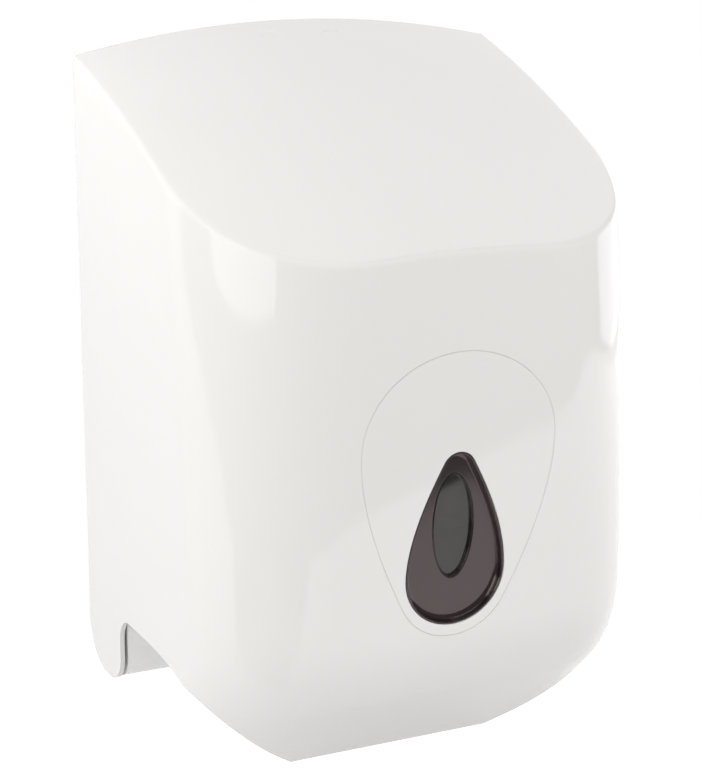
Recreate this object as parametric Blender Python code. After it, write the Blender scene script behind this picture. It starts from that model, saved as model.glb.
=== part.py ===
"""Centrefeed roll dispenser: a wall plate, a hinged cover with a window, a roll shelf and outlet, and a latch.

Heights are measured up from the lowest edge of the cover's chin and depths forward from the wall,
towards -Y. The dispenser empty puts the origin on the wall plate's flat rear face.
"""
import math

import bmesh
import bpy
from mathutils import Vector

# Placing on the wall
ORIGIN_HEIGHT = 0.200

# Cover form: overall sizes and the top
COVER_WIDTH = 0.2445
COVER_DEPTH = 0.2070
SIDE_HEIGHT = 0.3563
TOP_CROWN = 0.0139
TOP_RUN = 0.200
TOP_DROP = 0.0848
TOP_STRAIGHT_SHARE = 0.62
SIDE_TAPER = math.radians(1.12)
SIDE_DRAFT = math.radians(0.195)
COVER_WALL = 0.0025
RIDGE_FILLET = 0.0038
REAR_GAP = 0.0005

# Cover form: the front, which leans a little, and the chin that curves under it
FRONT_RADIUS = 2.270
FRONT_APEX_HEIGHT = 0.265
CHIN_DEPTH = 0.1302
CHIN_ANGLE = math.radians(46.35)
CHIN_BLEND = 0.0716
CHIN_CORNER = 0.053
RIDGE_CORNER = 0.0789
CORNER_START_HEIGHT = 0.092
CORNER_END_HEIGHT = 0.281
CORNER_GROWTH_POWER = 1.13

# Cover form: its lower edge, which rises to the sides, and the two round feet at the hinge
CHIN_HALF_WIDTH = 0.0574
LOWER_EDGE_START_ANGLE = math.radians(39)
LOWER_EDGE_END_ANGLE = math.radians(48)
LOWER_EDGE_RADIUS = 0.630
SIDE_EDGE_HEIGHT = 0.0632
SIDE_EDGE_RADIUS = 0.205
SIDE_EDGE_LEVEL_DEPTH = 0.092
SIDE_EDGE_END_DEPTH = 0.152
FOOT_FILLET = 0.014

# Cover hinge
PIVOT_DEPTH = 0.025
PIVOT_HEIGHT = 0.0466
FOOT_RADIUS = 0.0243
FOOT_REAR_ANGLE = math.radians(5)
FOOT_REACH = 0.0486
TOE_RADIUS = 0.0166
PIN_RADIUS = 0.003
PIN_HEAD_RADIUS = 0.005
PIN_HEAD_LENGTH = 0.002
FOOT_BOSS_RADIUS = 0.0075
FOOT_BOSS_LENGTH = 0.0058
FOOT_BORE_SKIN = 0.0008

# Fits
FIT_GAP = 0.0003
RUNNING_GAP = 0.0008
OVERRUN = 0.004
MERGE_DISTANCE = 0.000003

# Window panel, an egg with its small end down
EGG_WIDEST_HEIGHT = 0.186
EGG_SIDE_MARGIN = 0.0018
EGG_TOP_RISE = 0.0472
EGG_SMALL_SHARE = 0.59
EGG_SMALL_DROP = 0.0683
EGG_FLANK_ANGLE = math.radians(27)
PANEL_SEAT_DEPTH = 0.0015
PANEL_LEDGE = 0.003
PANEL_THICKNESS = 0.0012
POCKET_FLOOR = 0.0018
POCKET_WALL = 0.0016

# Window lens, a drop with its small end up, with an oval sight glass in its floor; the shares are of
# the egg's half width, and the drops down from its widest height
DROP_WIDEST_DROP = 0.066
DROP_WIDTH_SHARE = 0.5125
DROP_SMALL_SHARE = 0.1715
DROP_SMALL_DROP = 0.0123
DROP_FLANK_ANGLE = math.radians(28.5)
LENS_WALL = 0.0016
LENS_DISH_DEPTH = 0.0043
OVAL_WIDTH_SHARE = 0.2287
OVAL_HALF_HEIGHT = 0.028
OVAL_DROP = 0.0423
PEG_RADIUS = 0.0015
PEG_LENGTH = 0.0030
PEG_INSET = 0.008

# Window retainer and its screws
RETAINER_THICKNESS = 0.002
RETAINER_MARGIN = 0.002
WINDOW_SCREW_UPPER_SHARE = 0.648
WINDOW_SCREW_UPPER_RISE = 0.014
WINDOW_SCREW_LOWER_SHARE = 0.629
WINDOW_SCREW_LOWER_DROP = 0.029
WINDOW_BOSS_RADIUS = 0.0028

# Screws
SCREW_SHANK_RADIUS = 0.0012
SCREW_HEAD_RADIUS = 0.0042
SCREW_HEAD_LENGTH = 0.0018
SCREW_CROWN_SHARE = 0.6

# Back plate
PLATE_SHEET = 0.003
PLATE_TOP_GAP = 0.0015
RIM_DEPTH = 0.012
RIM_WALL = 0.002
RIM_BREAK_HALF_WIDTH = 0.036
BARREL_INSET = 0.0006
BARREL_WALL = 0.0025
LEDGE_HEIGHT = 0.0667
LEDGE_THICKNESS = 0.003
HINGE_CUP_WALL = 0.0026
PLATE_RIB_X = 0.052
PLATE_RIB_DEPTH = 0.004
PLATE_RIB_WIDTH = 0.003
PLATE_RIB_MARGIN = 0.014
WALL_SLOT_SIDE_MARGIN = 0.037
WALL_SLOT_TOP_MARGIN = 0.042
WALL_SLOT_LEDGE_MARGIN = 0.0433
WALL_SLOT_RADIUS = 0.00275
WALL_SLOT_STRAIGHT = 0.006
WALL_PAD_RADIUS = 0.009
WALL_PAD_DEPTH = 0.002

# Roll shelf
SHELF_THICKNESS = 0.003
SHELF_RIM_HEIGHT = 0.008
SHELF_RIM_WALL = 0.002
SHELF_SIDE_GAP = 0.002
SHELF_RIB_INNER_X = 0.045
SHELF_RIB_OUTER_X = 0.078
SHELF_RIB_WIDTH = 0.0022
SHELF_RIB_REAR_DROP = 0.012
SHELF_RIB_FRONT_DROP = 0.004
SHELF_RIB_FRONT_DEPTH = 0.150
SHELF_SCREW_INNER_X = 0.035
SHELF_SCREW_SIDE_MARGIN = 0.025
SHELF_SCREW_DEPTH = 0.032
SHELF_BOSS_RADIUS = 0.0036
SHELF_BOSS_LENGTH = 0.008

# Paper outlet
NOZZLE_FLANGE_RADIUS = 0.038
NOZZLE_FLANGE_THICKNESS = 0.0022
NOZZLE_NECK_RADIUS = 0.030
NOZZLE_NECK_LENGTH = 0.014
NOZZLE_WALL = 0.002
NOZZLE_MOUTH_RADIUS = 0.016
NOZZLE_CONE_LENGTH = 0.016
NOZZLE_MOUTH_LENGTH = 0.006
TEAR_RING_THICKNESS = 0.0016
TEAR_RING_SEAT = 0.0015
TOOTH_COUNT = 16
TOOTH_TIP_RADIUS = 0.0095
TOOTH_ROOT_RADIUS = 0.0122
COLLAR_RADIUS = 0.0365
COLLAR_HEIGHT = 0.007

# Latch at the top
CATCH_HALF_WIDTH = 0.028
CATCH_THICKNESS = 0.0025
CATCH_DEPTH = 0.009
CATCH_DROP = 0.007
LATCH_OVERLAP = 0.003
LATCH_TRAVEL = 0.005
TONGUE_HALF_WIDTH = 0.022
TONGUE_THICKNESS = 0.003
TONGUE_LENGTH = 0.026
EAR_LENGTH = 0.0018
EAR_HEIGHT = 0.004
PAD_DEPTH = 0.0075
PAD_THICKNESS = 0.003
PAD_DROP = 0.008
KEY_HOLE_X = 0.018
KEY_HOLE_HALF_LENGTH = 0.004
KEY_HOLE_HALF_WIDTH = 0.0012
KEY_HOLE_DEPTH = 0.0175
HOUSING_HALF_WIDTH = 0.0285
HOUSING_WALL = 0.0025
HOUSING_HEIGHT = 0.018
HOUSING_FLANGE_DROP = 0.020
LATCH_SCREW_X = 0.018
SPRING_RADIUS = 0.0025
SPRING_WIRE_RADIUS = 0.00045
SPRING_TURNS = 7
SPRING_POINTS_PER_TURN = 9
SPRING_POST_RADIUS = 0.0015
SPRING_POST_LENGTH = 0.004
LATCH_PAD_MARGIN = 0.004

# Fineness of the meshes
SIDE_STEPS = 4
CORNER_STEPS = 12
FRONT_STEPS = 4
CHIN_STEPS = 7
WALL_STEPS = 5
FILLET_STEPS = 3
RIDGE_ROUNDS = 14
OUTLINE_STEPS = 8
FOOT_STEPS = 18
BARREL_OPEN_STEPS = 3
ROUND_STEPS = 32
SMALL_ROUND_STEPS = 14
SLOT_STEPS = 6
SMOOTH_BELOW = math.radians(40)

WHITE = (0.80, 0.79, 0.77)
GREY = (0.42, 0.42, 0.42)
SMOKE = (0.10, 0.08, 0.078)
STEEL = (0.55, 0.55, 0.56)


def lerp(low, high, share):
    return low + (high - low) * share


# The cover's form

def chin_centre():
    """Depth and height of the centre of the blend between the chin's slope and the front's arc."""
    front_centre = Vector((COVER_DEPTH - FRONT_RADIUS, FRONT_APEX_HEIGHT))
    slope = Vector((math.sin(CHIN_ANGLE), math.cos(CHIN_ANGLE)))
    start = Vector((CHIN_DEPTH - CHIN_BLEND * slope.y, CHIN_BLEND * slope.x))
    across = start - front_centre
    along = across.dot(slope)
    reach = FRONT_RADIUS - CHIN_BLEND
    return start + slope * (math.sqrt(along ** 2 - across.length_squared + reach ** 2) - along)


def chin_angles():
    """Angles below the horizontal at which the blend meets the front and the chin's slope."""
    centre = chin_centre()
    front_angle = math.atan2(FRONT_APEX_HEIGHT - centre.y, centre.x - COVER_DEPTH + FRONT_RADIUS)
    return front_angle, CHIN_ANGLE


def front_depth(height, inset=0.0):
    """Depth of the cover's front at a height, on a skin that lies inset inside the outer one."""
    centre = chin_centre()
    radius = CHIN_BLEND - inset
    front_angle, slope_angle = chin_angles()
    if height >= centre.y - radius * math.sin(front_angle):
        reach = FRONT_RADIUS - inset
        return COVER_DEPTH - FRONT_RADIUS + math.sqrt(reach ** 2 - (height - FRONT_APEX_HEIGHT) ** 2)
    if height <= centre.y - radius * math.sin(slope_angle):
        return CHIN_DEPTH + math.tan(CHIN_ANGLE) * height - inset / math.cos(CHIN_ANGLE)
    return centre.x + math.sqrt(radius ** 2 - (height - centre.y) ** 2)


def corner_radius(height):
    rise = max(0, height - CORNER_START_HEIGHT) / (CORNER_END_HEIGHT - CORNER_START_HEIGHT)
    return lerp(CHIN_CORNER, RIDGE_CORNER, rise ** CORNER_GROWTH_POWER)


def side_x(depth, height, inset=0.0):
    """Half width of the cover at a depth and height, where its side is straight."""
    lean = math.tan(SIDE_TAPER) * depth + math.tan(SIDE_DRAFT) * (height - PIVOT_HEIGHT)
    return COVER_WIDTH / 2 - lean - inset / math.cos(SIDE_TAPER)


def corner_centre(height, inset=0.0):
    """Half width and depth of the centre of the front corner's arc, in plan."""
    radius = corner_radius(height) - inset
    depth = front_depth(height, inset) - radius
    return side_x(depth, height, inset + radius), depth


def plan_point(station, height, inset):
    """Point and inward normal, in plan, of a station round the right half of the cover."""
    stretch, share = station
    radius = corner_radius(height) - inset
    centre_x, centre_depth = corner_centre(height, inset)
    if stretch == "side":
        at_depth = lerp(REAR_GAP, centre_depth + radius * math.sin(SIDE_TAPER), share)
        angle = SIDE_TAPER
        point = Vector((side_x(at_depth, height, inset), -at_depth))
    elif stretch == "corner":
        angle = lerp(SIDE_TAPER, math.pi / 2, share)
        point = Vector((centre_x + radius * math.cos(angle), -centre_depth - radius * math.sin(angle)))
    else:
        angle = math.pi / 2
        point = Vector((lerp(centre_x, 0, share), -centre_depth - radius))
    return point, Vector((-math.cos(angle), math.sin(angle)))


def half_stations():
    """Stations from the right rear edge to the middle of the front."""
    stations = [("side", k / SIDE_STEPS) for k in range(SIDE_STEPS)]
    stations += [("corner", k / CORNER_STEPS) for k in range(CORNER_STEPS)]
    return stations + [("front", k / FRONT_STEPS) for k in range(FRONT_STEPS + 1)]


def top_height(x, depth, inset=0.0):
    """Height of the top at a place, on a skin that lies inset under the outer one."""
    run = depth / TOP_RUN
    across = 2 * x / COVER_WIDTH
    drop = TOP_DROP * (TOP_STRAIGHT_SHARE * run + (1 - TOP_STRAIGHT_SHARE) * run ** 2)
    slope = TOP_DROP / TOP_RUN * (TOP_STRAIGHT_SHARE + 2 * (1 - TOP_STRAIGHT_SHARE) * run)
    tilt = TOP_CROWN * 4 * across / COVER_WIDTH
    steepness = math.sqrt(1 + slope ** 2 + tilt ** 2)
    return SIDE_HEIGHT - drop + TOP_CROWN * (1 - across ** 2) - inset * steepness


def ridge_height(station, inset):
    """Height at which the wall at a station meets the top."""
    height = SIDE_HEIGHT
    for _ in range(RIDGE_ROUNDS):
        point, _ = plan_point(station, height, inset)
        height = top_height(point.x, -point.y, inset)
    return height


def wall_heights(ridge, fillet, inset):
    """Heights of a column's points, from the chin's edge to the foot of the ridge fillet."""
    centre = chin_centre()
    front_angle, slope_angle = chin_angles()
    radius = CHIN_BLEND - inset
    heights = [0.0]
    for k in range(CHIN_STEPS + 1):
        heights.append(centre.y - radius * math.sin(lerp(slope_angle, front_angle, k / CHIN_STEPS)))
    start = heights[-1]
    return heights + [lerp(start, ridge - fillet, (k + 1) / WALL_STEPS) for k in range(WALL_STEPS)]


def column(station, inset):
    """Points up the wall at a station and over the ridge, ending on the top."""
    fillet = RIDGE_FILLET - inset
    ridge = ridge_height(station, inset)
    points = []
    for height in wall_heights(ridge, fillet, inset):
        point, _ = plan_point(station, height, inset)
        points.append(Vector((point.x, point.y, height)))
    point, inward = plan_point(station, ridge, inset)
    crease = Vector((point.x, point.y, ridge))
    landing = point + inward * fillet
    last = Vector((landing.x, landing.y, top_height(landing.x, -landing.y, inset)))
    first = points[-1]
    for k in range(1, FILLET_STEPS + 1):
        share = k / FILLET_STEPS
        points.append(first.lerp(crease, share).lerp(crease.lerp(last, share), share))
    return points


def skin(inset, points, faces):
    """Add one skin of the cover and return the loop of its open edge."""
    half = [column(station, inset) for station in half_stations()]
    columns = half + [[Vector((-p.x, p.y, p.z)) for p in c] for c in reversed(half[:-1])]
    grid = []
    for line in columns:
        grid.append(list(range(len(points), len(points) + len(line))))
        points.extend(line)
    for left, right in zip(grid, grid[1:]):
        for k in range(len(left) - 1):
            faces.append((left[k], right[k], right[k + 1], left[k + 1]))
    front_start = SIDE_STEPS + CORNER_STEPS
    ribs = []
    for k in range(front_start):
        start = grid[k][-1]
        end = grid[-1 - k][-1]
        rib = [start]
        for step in range(1, 2 * FRONT_STEPS):
            x = lerp(points[start].x, points[end].x, step / (2 * FRONT_STEPS))
            rib.append(len(points))
            points.append(Vector((x, points[start].y, top_height(x, -points[start].y, inset))))
        ribs.append(rib + [end])
    ribs.append([line[-1] for line in grid[front_start:len(grid) - front_start]])
    for rear, front in zip(ribs, ribs[1:]):
        for k in range(len(rear) - 1):
            faces.append((rear[k], rear[k + 1], front[k + 1], front[k]))
    bottom = [line[0] for line in grid]
    return bottom + grid[-1][1:] + ribs[0][-2:0:-1] + grid[0][:0:-1]


# Solids and how they combine

def solid(name, points, faces):
    """A closed mesh object with its faces turned outwards."""
    mesh = bpy.data.meshes.new(name)
    mesh.from_pydata([tuple(p) for p in points], [], faces)
    shape = bmesh.new()
    shape.from_mesh(mesh)
    bmesh.ops.remove_doubles(shape, verts=shape.verts, dist=MERGE_DISTANCE)
    bmesh.ops.recalc_face_normals(shape, faces=shape.faces)
    shape.to_mesh(mesh)
    shape.free()
    body = bpy.data.objects.new(name, mesh)
    bpy.context.scene.collection.objects.link(body)
    return body


def combine(body, tool, operation):
    """Join, cut or intersect the body with a tool, which is used up."""
    step = body.modifiers.new(operation, 'BOOLEAN')
    step.operation = operation
    step.solver = 'EXACT'
    step.object = tool
    bpy.context.view_layer.update()
    result = bpy.data.meshes.new_from_object(body.evaluated_get(bpy.context.evaluated_depsgraph_get()))
    body.modifiers.clear()
    body.data = result
    bpy.data.objects.remove(tool)
    return body


def join(body, *tools):
    for tool in tools:
        combine(body, tool, 'UNION')
    return body


def cut(body, *tools):
    for tool in tools:
        combine(body, tool, 'DIFFERENCE')
    return body


def prism(outline, axis, low, high):
    """An outline in the plane across an axis, drawn out along that axis."""
    ends = []
    for level in (low, high):
        for a, b in outline:
            place = [a, b]
            place.insert(axis, level)
            ends.append(Vector(place))
    count = len(outline)
    faces = [tuple(range(count)), tuple(range(2 * count - 1, count - 1, -1))]
    for k in range(count):
        after = (k + 1) % count
        faces.append((k, after, count + after, count + k))
    return solid("prism", ends, faces)


def block(x_range, depth_range, height_range):
    """A box given by its ranges of x, depth from the wall and height."""
    (x0, x1), (d0, d1), (h0, h1) = x_range, depth_range, height_range
    return prism([(x0, -d0), (x1, -d0), (x1, -d1), (x0, -d1)], 2, h0, h1)


def arc(centre, radius, start, end, steps):
    """Points along an arc, both ends included; its radius may be a pair of half axes."""
    wide, tall = radius if isinstance(radius, tuple) else (radius, radius)
    angles = [lerp(start, end, k / steps) for k in range(steps + 1)]
    return [(centre[0] + wide * math.cos(a), centre[1] + tall * math.sin(a)) for a in angles]


def circle(centre, radius, steps):
    return arc(centre, radius, 0, 2 * math.pi, steps)[:-1]


def rod(axis, centre, radius, low, high, steps=SMALL_ROUND_STEPS):
    """A round rod along an axis, its centre given in the plane across it."""
    return prism(circle(centre, radius, steps), axis, low, high)


def turned(profile, centre, steps=ROUND_STEPS):
    """A ring whose closed profile, of radius and height, is turned about an upright axis."""
    points = []
    for k in range(steps):
        angle = 2 * math.pi * k / steps
        for radius, height in profile:
            x = centre[0] + radius * math.cos(angle)
            y = centre[1] + radius * math.sin(angle)
            points.append(Vector((x, y, height)))
    count = len(profile)
    faces = []
    for k in range(steps):
        here = k * count
        there = (k + 1) % steps * count
        for j in range(count):
            after = (j + 1) % count
            faces.append((here + j, here + after, there + after, there + j))
    return solid("turned", points, faces)


def screw(name, head_seat, direction, length):
    """A pan-head screw whose head sits on head_seat and whose shank runs along a direction."""
    profile = [(0.0, SCREW_HEAD_LENGTH), (SCREW_HEAD_RADIUS * SCREW_CROWN_SHARE, SCREW_HEAD_LENGTH)]
    profile += [(SCREW_HEAD_RADIUS, SCREW_HEAD_LENGTH / 2), (SCREW_HEAD_RADIUS, 0.0)]
    profile += [(SCREW_SHANK_RADIUS, 0.0), (SCREW_SHANK_RADIUS, -length + SCREW_SHANK_RADIUS), (0.0, -length)]
    points = [Vector((0, 0, profile[0][1])), Vector((0, 0, profile[-1][1]))]
    rings = []
    for radius, height in profile[1:-1]:
        rings.append(list(range(len(points), len(points) + SMALL_ROUND_STEPS)))
        points += [Vector((x, y, height)) for x, y in circle((0, 0), radius, SMALL_ROUND_STEPS)]
    faces = []
    for k in range(SMALL_ROUND_STEPS):
        after = (k + 1) % SMALL_ROUND_STEPS
        faces.append((0, rings[0][k], rings[0][after]))
        faces.append((1, rings[-1][after], rings[-1][k]))
        for upper, lower in zip(rings, rings[1:]):
            faces.append((upper[k], lower[k], lower[after], upper[after]))
    turn = Vector((0, 0, -1)).rotation_difference(Vector(direction))
    seat = Vector(head_seat)
    return solid(name, [seat + turn @ p for p in points], faces)


# Outlines on the front

def pebble(grow, wide, tall, wide_height, small, small_height, flank_angle):
    """Right half of an egg or a drop, from the large end's middle line to the small end's.

    The large end is half an ellipse and the small end an arc; a curve that is tangent to both joins them.
    The outline is grown outwards by grow.
    """
    away = 1 if small_height < wide_height else -1
    points = arc((0, wide_height), (wide + grow, away * (tall + grow)), math.pi / 2, 0, OUTLINE_STEPS)
    small += grow
    start = Vector((wide + grow, wide_height))
    end = Vector((small * math.cos(flank_angle), small_height - away * small * math.sin(flank_angle)))
    handle = abs(start.y - end.y) / 3
    near = start - Vector((0, away * handle))
    far = end + Vector((math.sin(flank_angle), away * math.cos(flank_angle))) * handle
    for k in range(1, OUTLINE_STEPS):
        t = k / OUTLINE_STEPS
        low = start.lerp(near, t).lerp(near.lerp(far, t), t)
        high = near.lerp(far, t).lerp(far.lerp(end, t), t)
        points.append(tuple(low.lerp(high, t)))
    points += arc((0, small_height), (small, away * small), -flank_angle, -math.pi / 2, OUTLINE_STEPS)
    return points


def egg_share(share=1.0):
    """A share of the egg's half width, which just fits the flat between the front's corners."""
    return share * (corner_centre(EGG_WIDEST_HEIGHT)[0] - EGG_SIDE_MARGIN)


def egg(grow=0.0):
    return pebble(grow, egg_share(), EGG_TOP_RISE, EGG_WIDEST_HEIGHT,
                  egg_share(EGG_SMALL_SHARE), EGG_WIDEST_HEIGHT - EGG_SMALL_DROP, EGG_FLANK_ANGLE)


def drop_heights():
    """Heights of the drop's widest place and of the centre of its small end."""
    return EGG_WIDEST_HEIGHT - DROP_WIDEST_DROP, EGG_WIDEST_HEIGHT - DROP_SMALL_DROP


def drop(grow=0.0):
    wide = egg_share(DROP_WIDTH_SHARE)
    widest_height, small_height = drop_heights()
    return pebble(grow, wide, wide, widest_height,
                  egg_share(DROP_SMALL_SHARE), small_height, DROP_FLANK_ANGLE)


def oval(grow=0.0):
    half_axes = (egg_share(OVAL_WIDTH_SHARE) + grow, OVAL_HALF_HEIGHT + grow)
    middle = (0, EGG_WIDEST_HEIGHT - OVAL_DROP)
    return arc(middle, half_axes, math.pi / 2, -math.pi / 2, 2 * OUTLINE_STEPS)


def plug(half_outline, outer_inset, inner_inset):
    """A slab of the front between two insets, bounded by an outline given by its right half."""
    points = []
    for inset in (outer_inset, inner_inset):
        for side in (1, -1):
            for x, height in half_outline:
                points.append(Vector((side * x, -front_depth(height, inset), height)))
    count = len(half_outline)
    faces = []
    for k in range(count - 1):
        for layer in (0, 2 * count):
            faces.append((layer + k, layer + k + 1, layer + count + k + 1, layer + count + k))
        for side in (0, count):
            near = side + k
            faces.append((near, near + 1, 2 * count + near + 1, 2 * count + near))
    return solid("plug", points, faces)


def front_point(x, height, inset):
    return Vector((x, -front_depth(height, inset), height))


# Pieces of the cover

def lower_edge_cutter(side):
    """What is cut away below the lower edge where it rises from the chin, seen from the front."""
    start, end = LOWER_EDGE_START_ANGLE, LOWER_EDGE_END_ANGLE
    centre_x = CHIN_HALF_WIDTH - LOWER_EDGE_RADIUS * math.sin(start)
    centre = (centre_x, LOWER_EDGE_RADIUS * math.cos(start))
    outline = [(CHIN_HALF_WIDTH - OVERRUN / math.tan(start), -OVERRUN)]
    outline += arc(centre, LOWER_EDGE_RADIUS, start - math.pi / 2, end - math.pi / 2, OUTLINE_STEPS)
    outline += [(COVER_WIDTH, outline[-1][1]), (COVER_WIDTH, -OVERRUN)]
    return prism([(side * x, z) for x, z in outline], 1, -COVER_DEPTH - OVERRUN, -FOOT_REACH - FOOT_FILLET)


def foot_outline(inset):
    """The round end of a foot seen from the side, from its heel at the wall to the front of its toe."""
    heel = (-PIVOT_DEPTH, PIVOT_HEIGHT)
    toe = (TOE_RADIUS - FOOT_REACH, PIVOT_HEIGHT - FOOT_RADIUS + TOE_RADIUS)
    points = arc(heel, FOOT_RADIUS - inset, -FOOT_REAR_ANGLE, -math.pi / 2, FOOT_STEPS // 2)
    return points + arc(toe, TOE_RADIUS - inset, -math.pi / 2, -math.pi, FOOT_STEPS // 2)


def side_edge_cutter(side):
    """What is cut away round a foot and below the side's edge, seen from the side."""
    foot = foot_outline(0.0)
    fillet_centre = (-FOOT_REACH - FOOT_FILLET, SIDE_EDGE_HEIGHT - FOOT_FILLET)
    edge_centre = (-SIDE_EDGE_LEVEL_DEPTH, SIDE_EDGE_HEIGHT - SIDE_EDGE_RADIUS)
    turn = math.asin((SIDE_EDGE_END_DEPTH - SIDE_EDGE_LEVEL_DEPTH) / SIDE_EDGE_RADIUS)
    outline = [(OVERRUN, -OVERRUN), (OVERRUN, foot[0][1])] + foot
    outline += arc(fillet_centre, FOOT_FILLET, 0, math.pi / 2, SLOT_STEPS)
    outline += arc(edge_centre, SIDE_EDGE_RADIUS, math.pi / 2, math.pi / 2 + turn, SLOT_STEPS)
    outline += [(-SIDE_EDGE_END_DEPTH, -OVERRUN)]
    inner = side_x(SIDE_EDGE_END_DEPTH, SIDE_EDGE_HEIGHT, COVER_WALL)
    low, high = sorted((side * inner, side * COVER_WIDTH))
    return prism(outline, 0, low, high)


def catch_height():
    """Height of the lower edge of the catch, a rib under the cover's top."""
    return top_height(CATCH_HALF_WIDTH, CATCH_DEPTH, COVER_WALL) - CATCH_DROP


def key_hole_cutter(x):
    half = KEY_HOLE_HALF_LENGTH - KEY_HOLE_HALF_WIDTH
    middle = -KEY_HOLE_DEPTH
    outline = arc((x + half, middle), KEY_HOLE_HALF_WIDTH, -math.pi / 2, math.pi / 2, SLOT_STEPS)
    outline += arc((x - half, middle), KEY_HOLE_HALF_WIDTH, math.pi / 2, 3 * math.pi / 2, SLOT_STEPS)
    return prism(outline, 2, catch_height(), SIDE_HEIGHT + TOP_CROWN + OVERRUN)


def foot_boss_tip():
    return side_x(PIVOT_DEPTH, PIVOT_HEIGHT, COVER_WALL) - FOOT_BOSS_LENGTH


def foot_bore_end():
    return side_x(PIVOT_DEPTH + FOOT_BOSS_RADIUS, PIVOT_HEIGHT) - FOOT_BORE_SKIN


def front_cover():
    points = []
    faces = []
    outer = skin(0.0, points, faces)
    inner = skin(COVER_WALL, points, faces)
    count = len(outer)
    for k in range(count):
        after = (k + 1) % count
        faces.append((outer[k], outer[after], inner[after], inner[k]))
    body = solid("front_cover", points, faces)
    for side in (1, -1):
        cut(body, side_edge_cutter(side), lower_edge_cutter(side))
    cut(body, plug(egg(), -OVERRUN, PANEL_SEAT_DEPTH))
    cut(body, plug(egg(-PANEL_LEDGE), -OVERRUN, COVER_WALL + OVERRUN))
    catch_depths = (CATCH_DEPTH, CATCH_DEPTH + CATCH_THICKNESS)
    catch_rise = top_height(CATCH_HALF_WIDTH, catch_depths[1], COVER_WALL / 2)
    join(body, block((-CATCH_HALF_WIDTH, CATCH_HALF_WIDTH), catch_depths, (catch_height(), catch_rise)))
    cut(body, key_hole_cutter(KEY_HOLE_X), key_hole_cutter(-KEY_HOLE_X))
    centre = (-PIVOT_DEPTH, PIVOT_HEIGHT)
    for side in (1, -1):
        root = foot_boss_tip() + FOOT_BOSS_LENGTH + COVER_WALL / 2
        low, high = sorted((side * foot_boss_tip(), side * root))
        join(body, rod(0, centre, FOOT_BOSS_RADIUS, low, high, ROUND_STEPS // 2))
        low, high = sorted((side * (foot_boss_tip() - OVERRUN), side * foot_bore_end()))
        cut(body, rod(0, centre, PIN_RADIUS + FIT_GAP, low, high))
    return body


def window_screw_places():
    upper = (egg_share(WINDOW_SCREW_UPPER_SHARE), EGG_WIDEST_HEIGHT + WINDOW_SCREW_UPPER_RISE)
    lower = (egg_share(WINDOW_SCREW_LOWER_SHARE), EGG_WIDEST_HEIGHT - WINDOW_SCREW_LOWER_DROP)
    return [(side * x, height) for side in (1, -1) for x, height in (upper, lower)]


def retainer_insets():
    outer = COVER_WALL + FIT_GAP
    return outer, outer + RETAINER_THICKNESS


def lens_back():
    return LENS_DISH_DEPTH + LENS_WALL


def pocket_floor():
    return lens_back() + FIT_GAP


def peg_heights():
    widest_height, small_height = drop_heights()
    top = small_height + egg_share(DROP_SMALL_SHARE) - PEG_INSET
    return top, widest_height - egg_share(DROP_WIDTH_SHARE) + PEG_INSET


def window_panel():
    body = plug(egg(-FIT_GAP), 0.0, PANEL_THICKNESS)
    body.name = "window_panel"
    join(body, plug(egg(-PANEL_LEDGE - FIT_GAP), PANEL_THICKNESS / 2, COVER_WALL))
    join(body, plug(drop(POCKET_WALL), PANEL_THICKNESS / 2, pocket_floor() + POCKET_FLOOR))
    cut(body, plug(drop(FIT_GAP), -OVERRUN, pocket_floor()))
    cut(body, plug(oval(FIT_GAP), -OVERRUN, pocket_floor() + POCKET_FLOOR + OVERRUN))
    for height in peg_heights():
        start = front_point(0, height, 0).y
        end = front_point(0, height, pocket_floor() + POCKET_FLOOR + OVERRUN).y
        cut(body, rod(1, (0, height), PEG_RADIUS + FIT_GAP, start, end))
    _, retainer_back = retainer_insets()
    for x, height in window_screw_places():
        root = front_point(x, height, PANEL_THICKNESS / 2).y
        tip = front_point(x, height, retainer_back - FIT_GAP).y
        join(body, rod(1, (x, height), WINDOW_BOSS_RADIUS, root, tip))
        floor = front_point(x, height, PANEL_THICKNESS).y
        cut(body, rod(1, (x, height), SCREW_SHANK_RADIUS + FIT_GAP, floor, tip + OVERRUN))
    return body


def window_lens():
    body = plug(drop(), 0.0, lens_back())
    body.name = "window_lens"
    join(body, plug(oval(), LENS_DISH_DEPTH, lens_back() + POCKET_FLOOR))
    cut(body, plug(drop(-LENS_WALL), -OVERRUN, LENS_DISH_DEPTH))
    cut(body, plug(oval(-LENS_WALL), -OVERRUN, LENS_DISH_DEPTH + POCKET_FLOOR))
    for height in peg_heights():
        root = front_point(0, height, lens_back() - LENS_WALL / 2).y
        tip = front_point(0, height, lens_back() + PEG_LENGTH).y
        join(body, rod(1, (0, height), PEG_RADIUS, root, tip))
    return body


def window_retainer():
    outer, inner = retainer_insets()
    body = plug(egg(RETAINER_MARGIN), outer, inner)
    body.name = "window_retainer"
    cut(body, plug(drop(POCKET_WALL + FIT_GAP), outer - OVERRUN, inner + OVERRUN))
    for x, height in window_screw_places():
        middle = front_point(x, height, outer).y
        cut(body, rod(1, (x, height), WINDOW_BOSS_RADIUS + FIT_GAP, middle - OVERRUN, middle + OVERRUN))
    return body


def window_screws():
    _, inner = retainer_insets()
    bodies = []
    for number, (x, height) in enumerate(window_screw_places(), 1):
        seat = front_point(x, height, inner + FIT_GAP)
        length = inner - PANEL_THICKNESS - FIT_GAP
        bodies.append(screw(f"window_screw_{number}", seat, (0, -1, 0), length))
    return bodies


# Pieces that stay on the wall

def plate_half_width():
    """Half width of the upright plate, which just clears the cover where that is narrowest."""
    return side_x(FOOT_REACH, SIDE_HEIGHT, COVER_WALL) - RUNNING_GAP


def plate_top(x):
    """Height of the plate's top edge, which follows the cover's top."""
    return top_height(x, RIM_DEPTH, COVER_WALL) - PLATE_TOP_GAP


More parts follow.
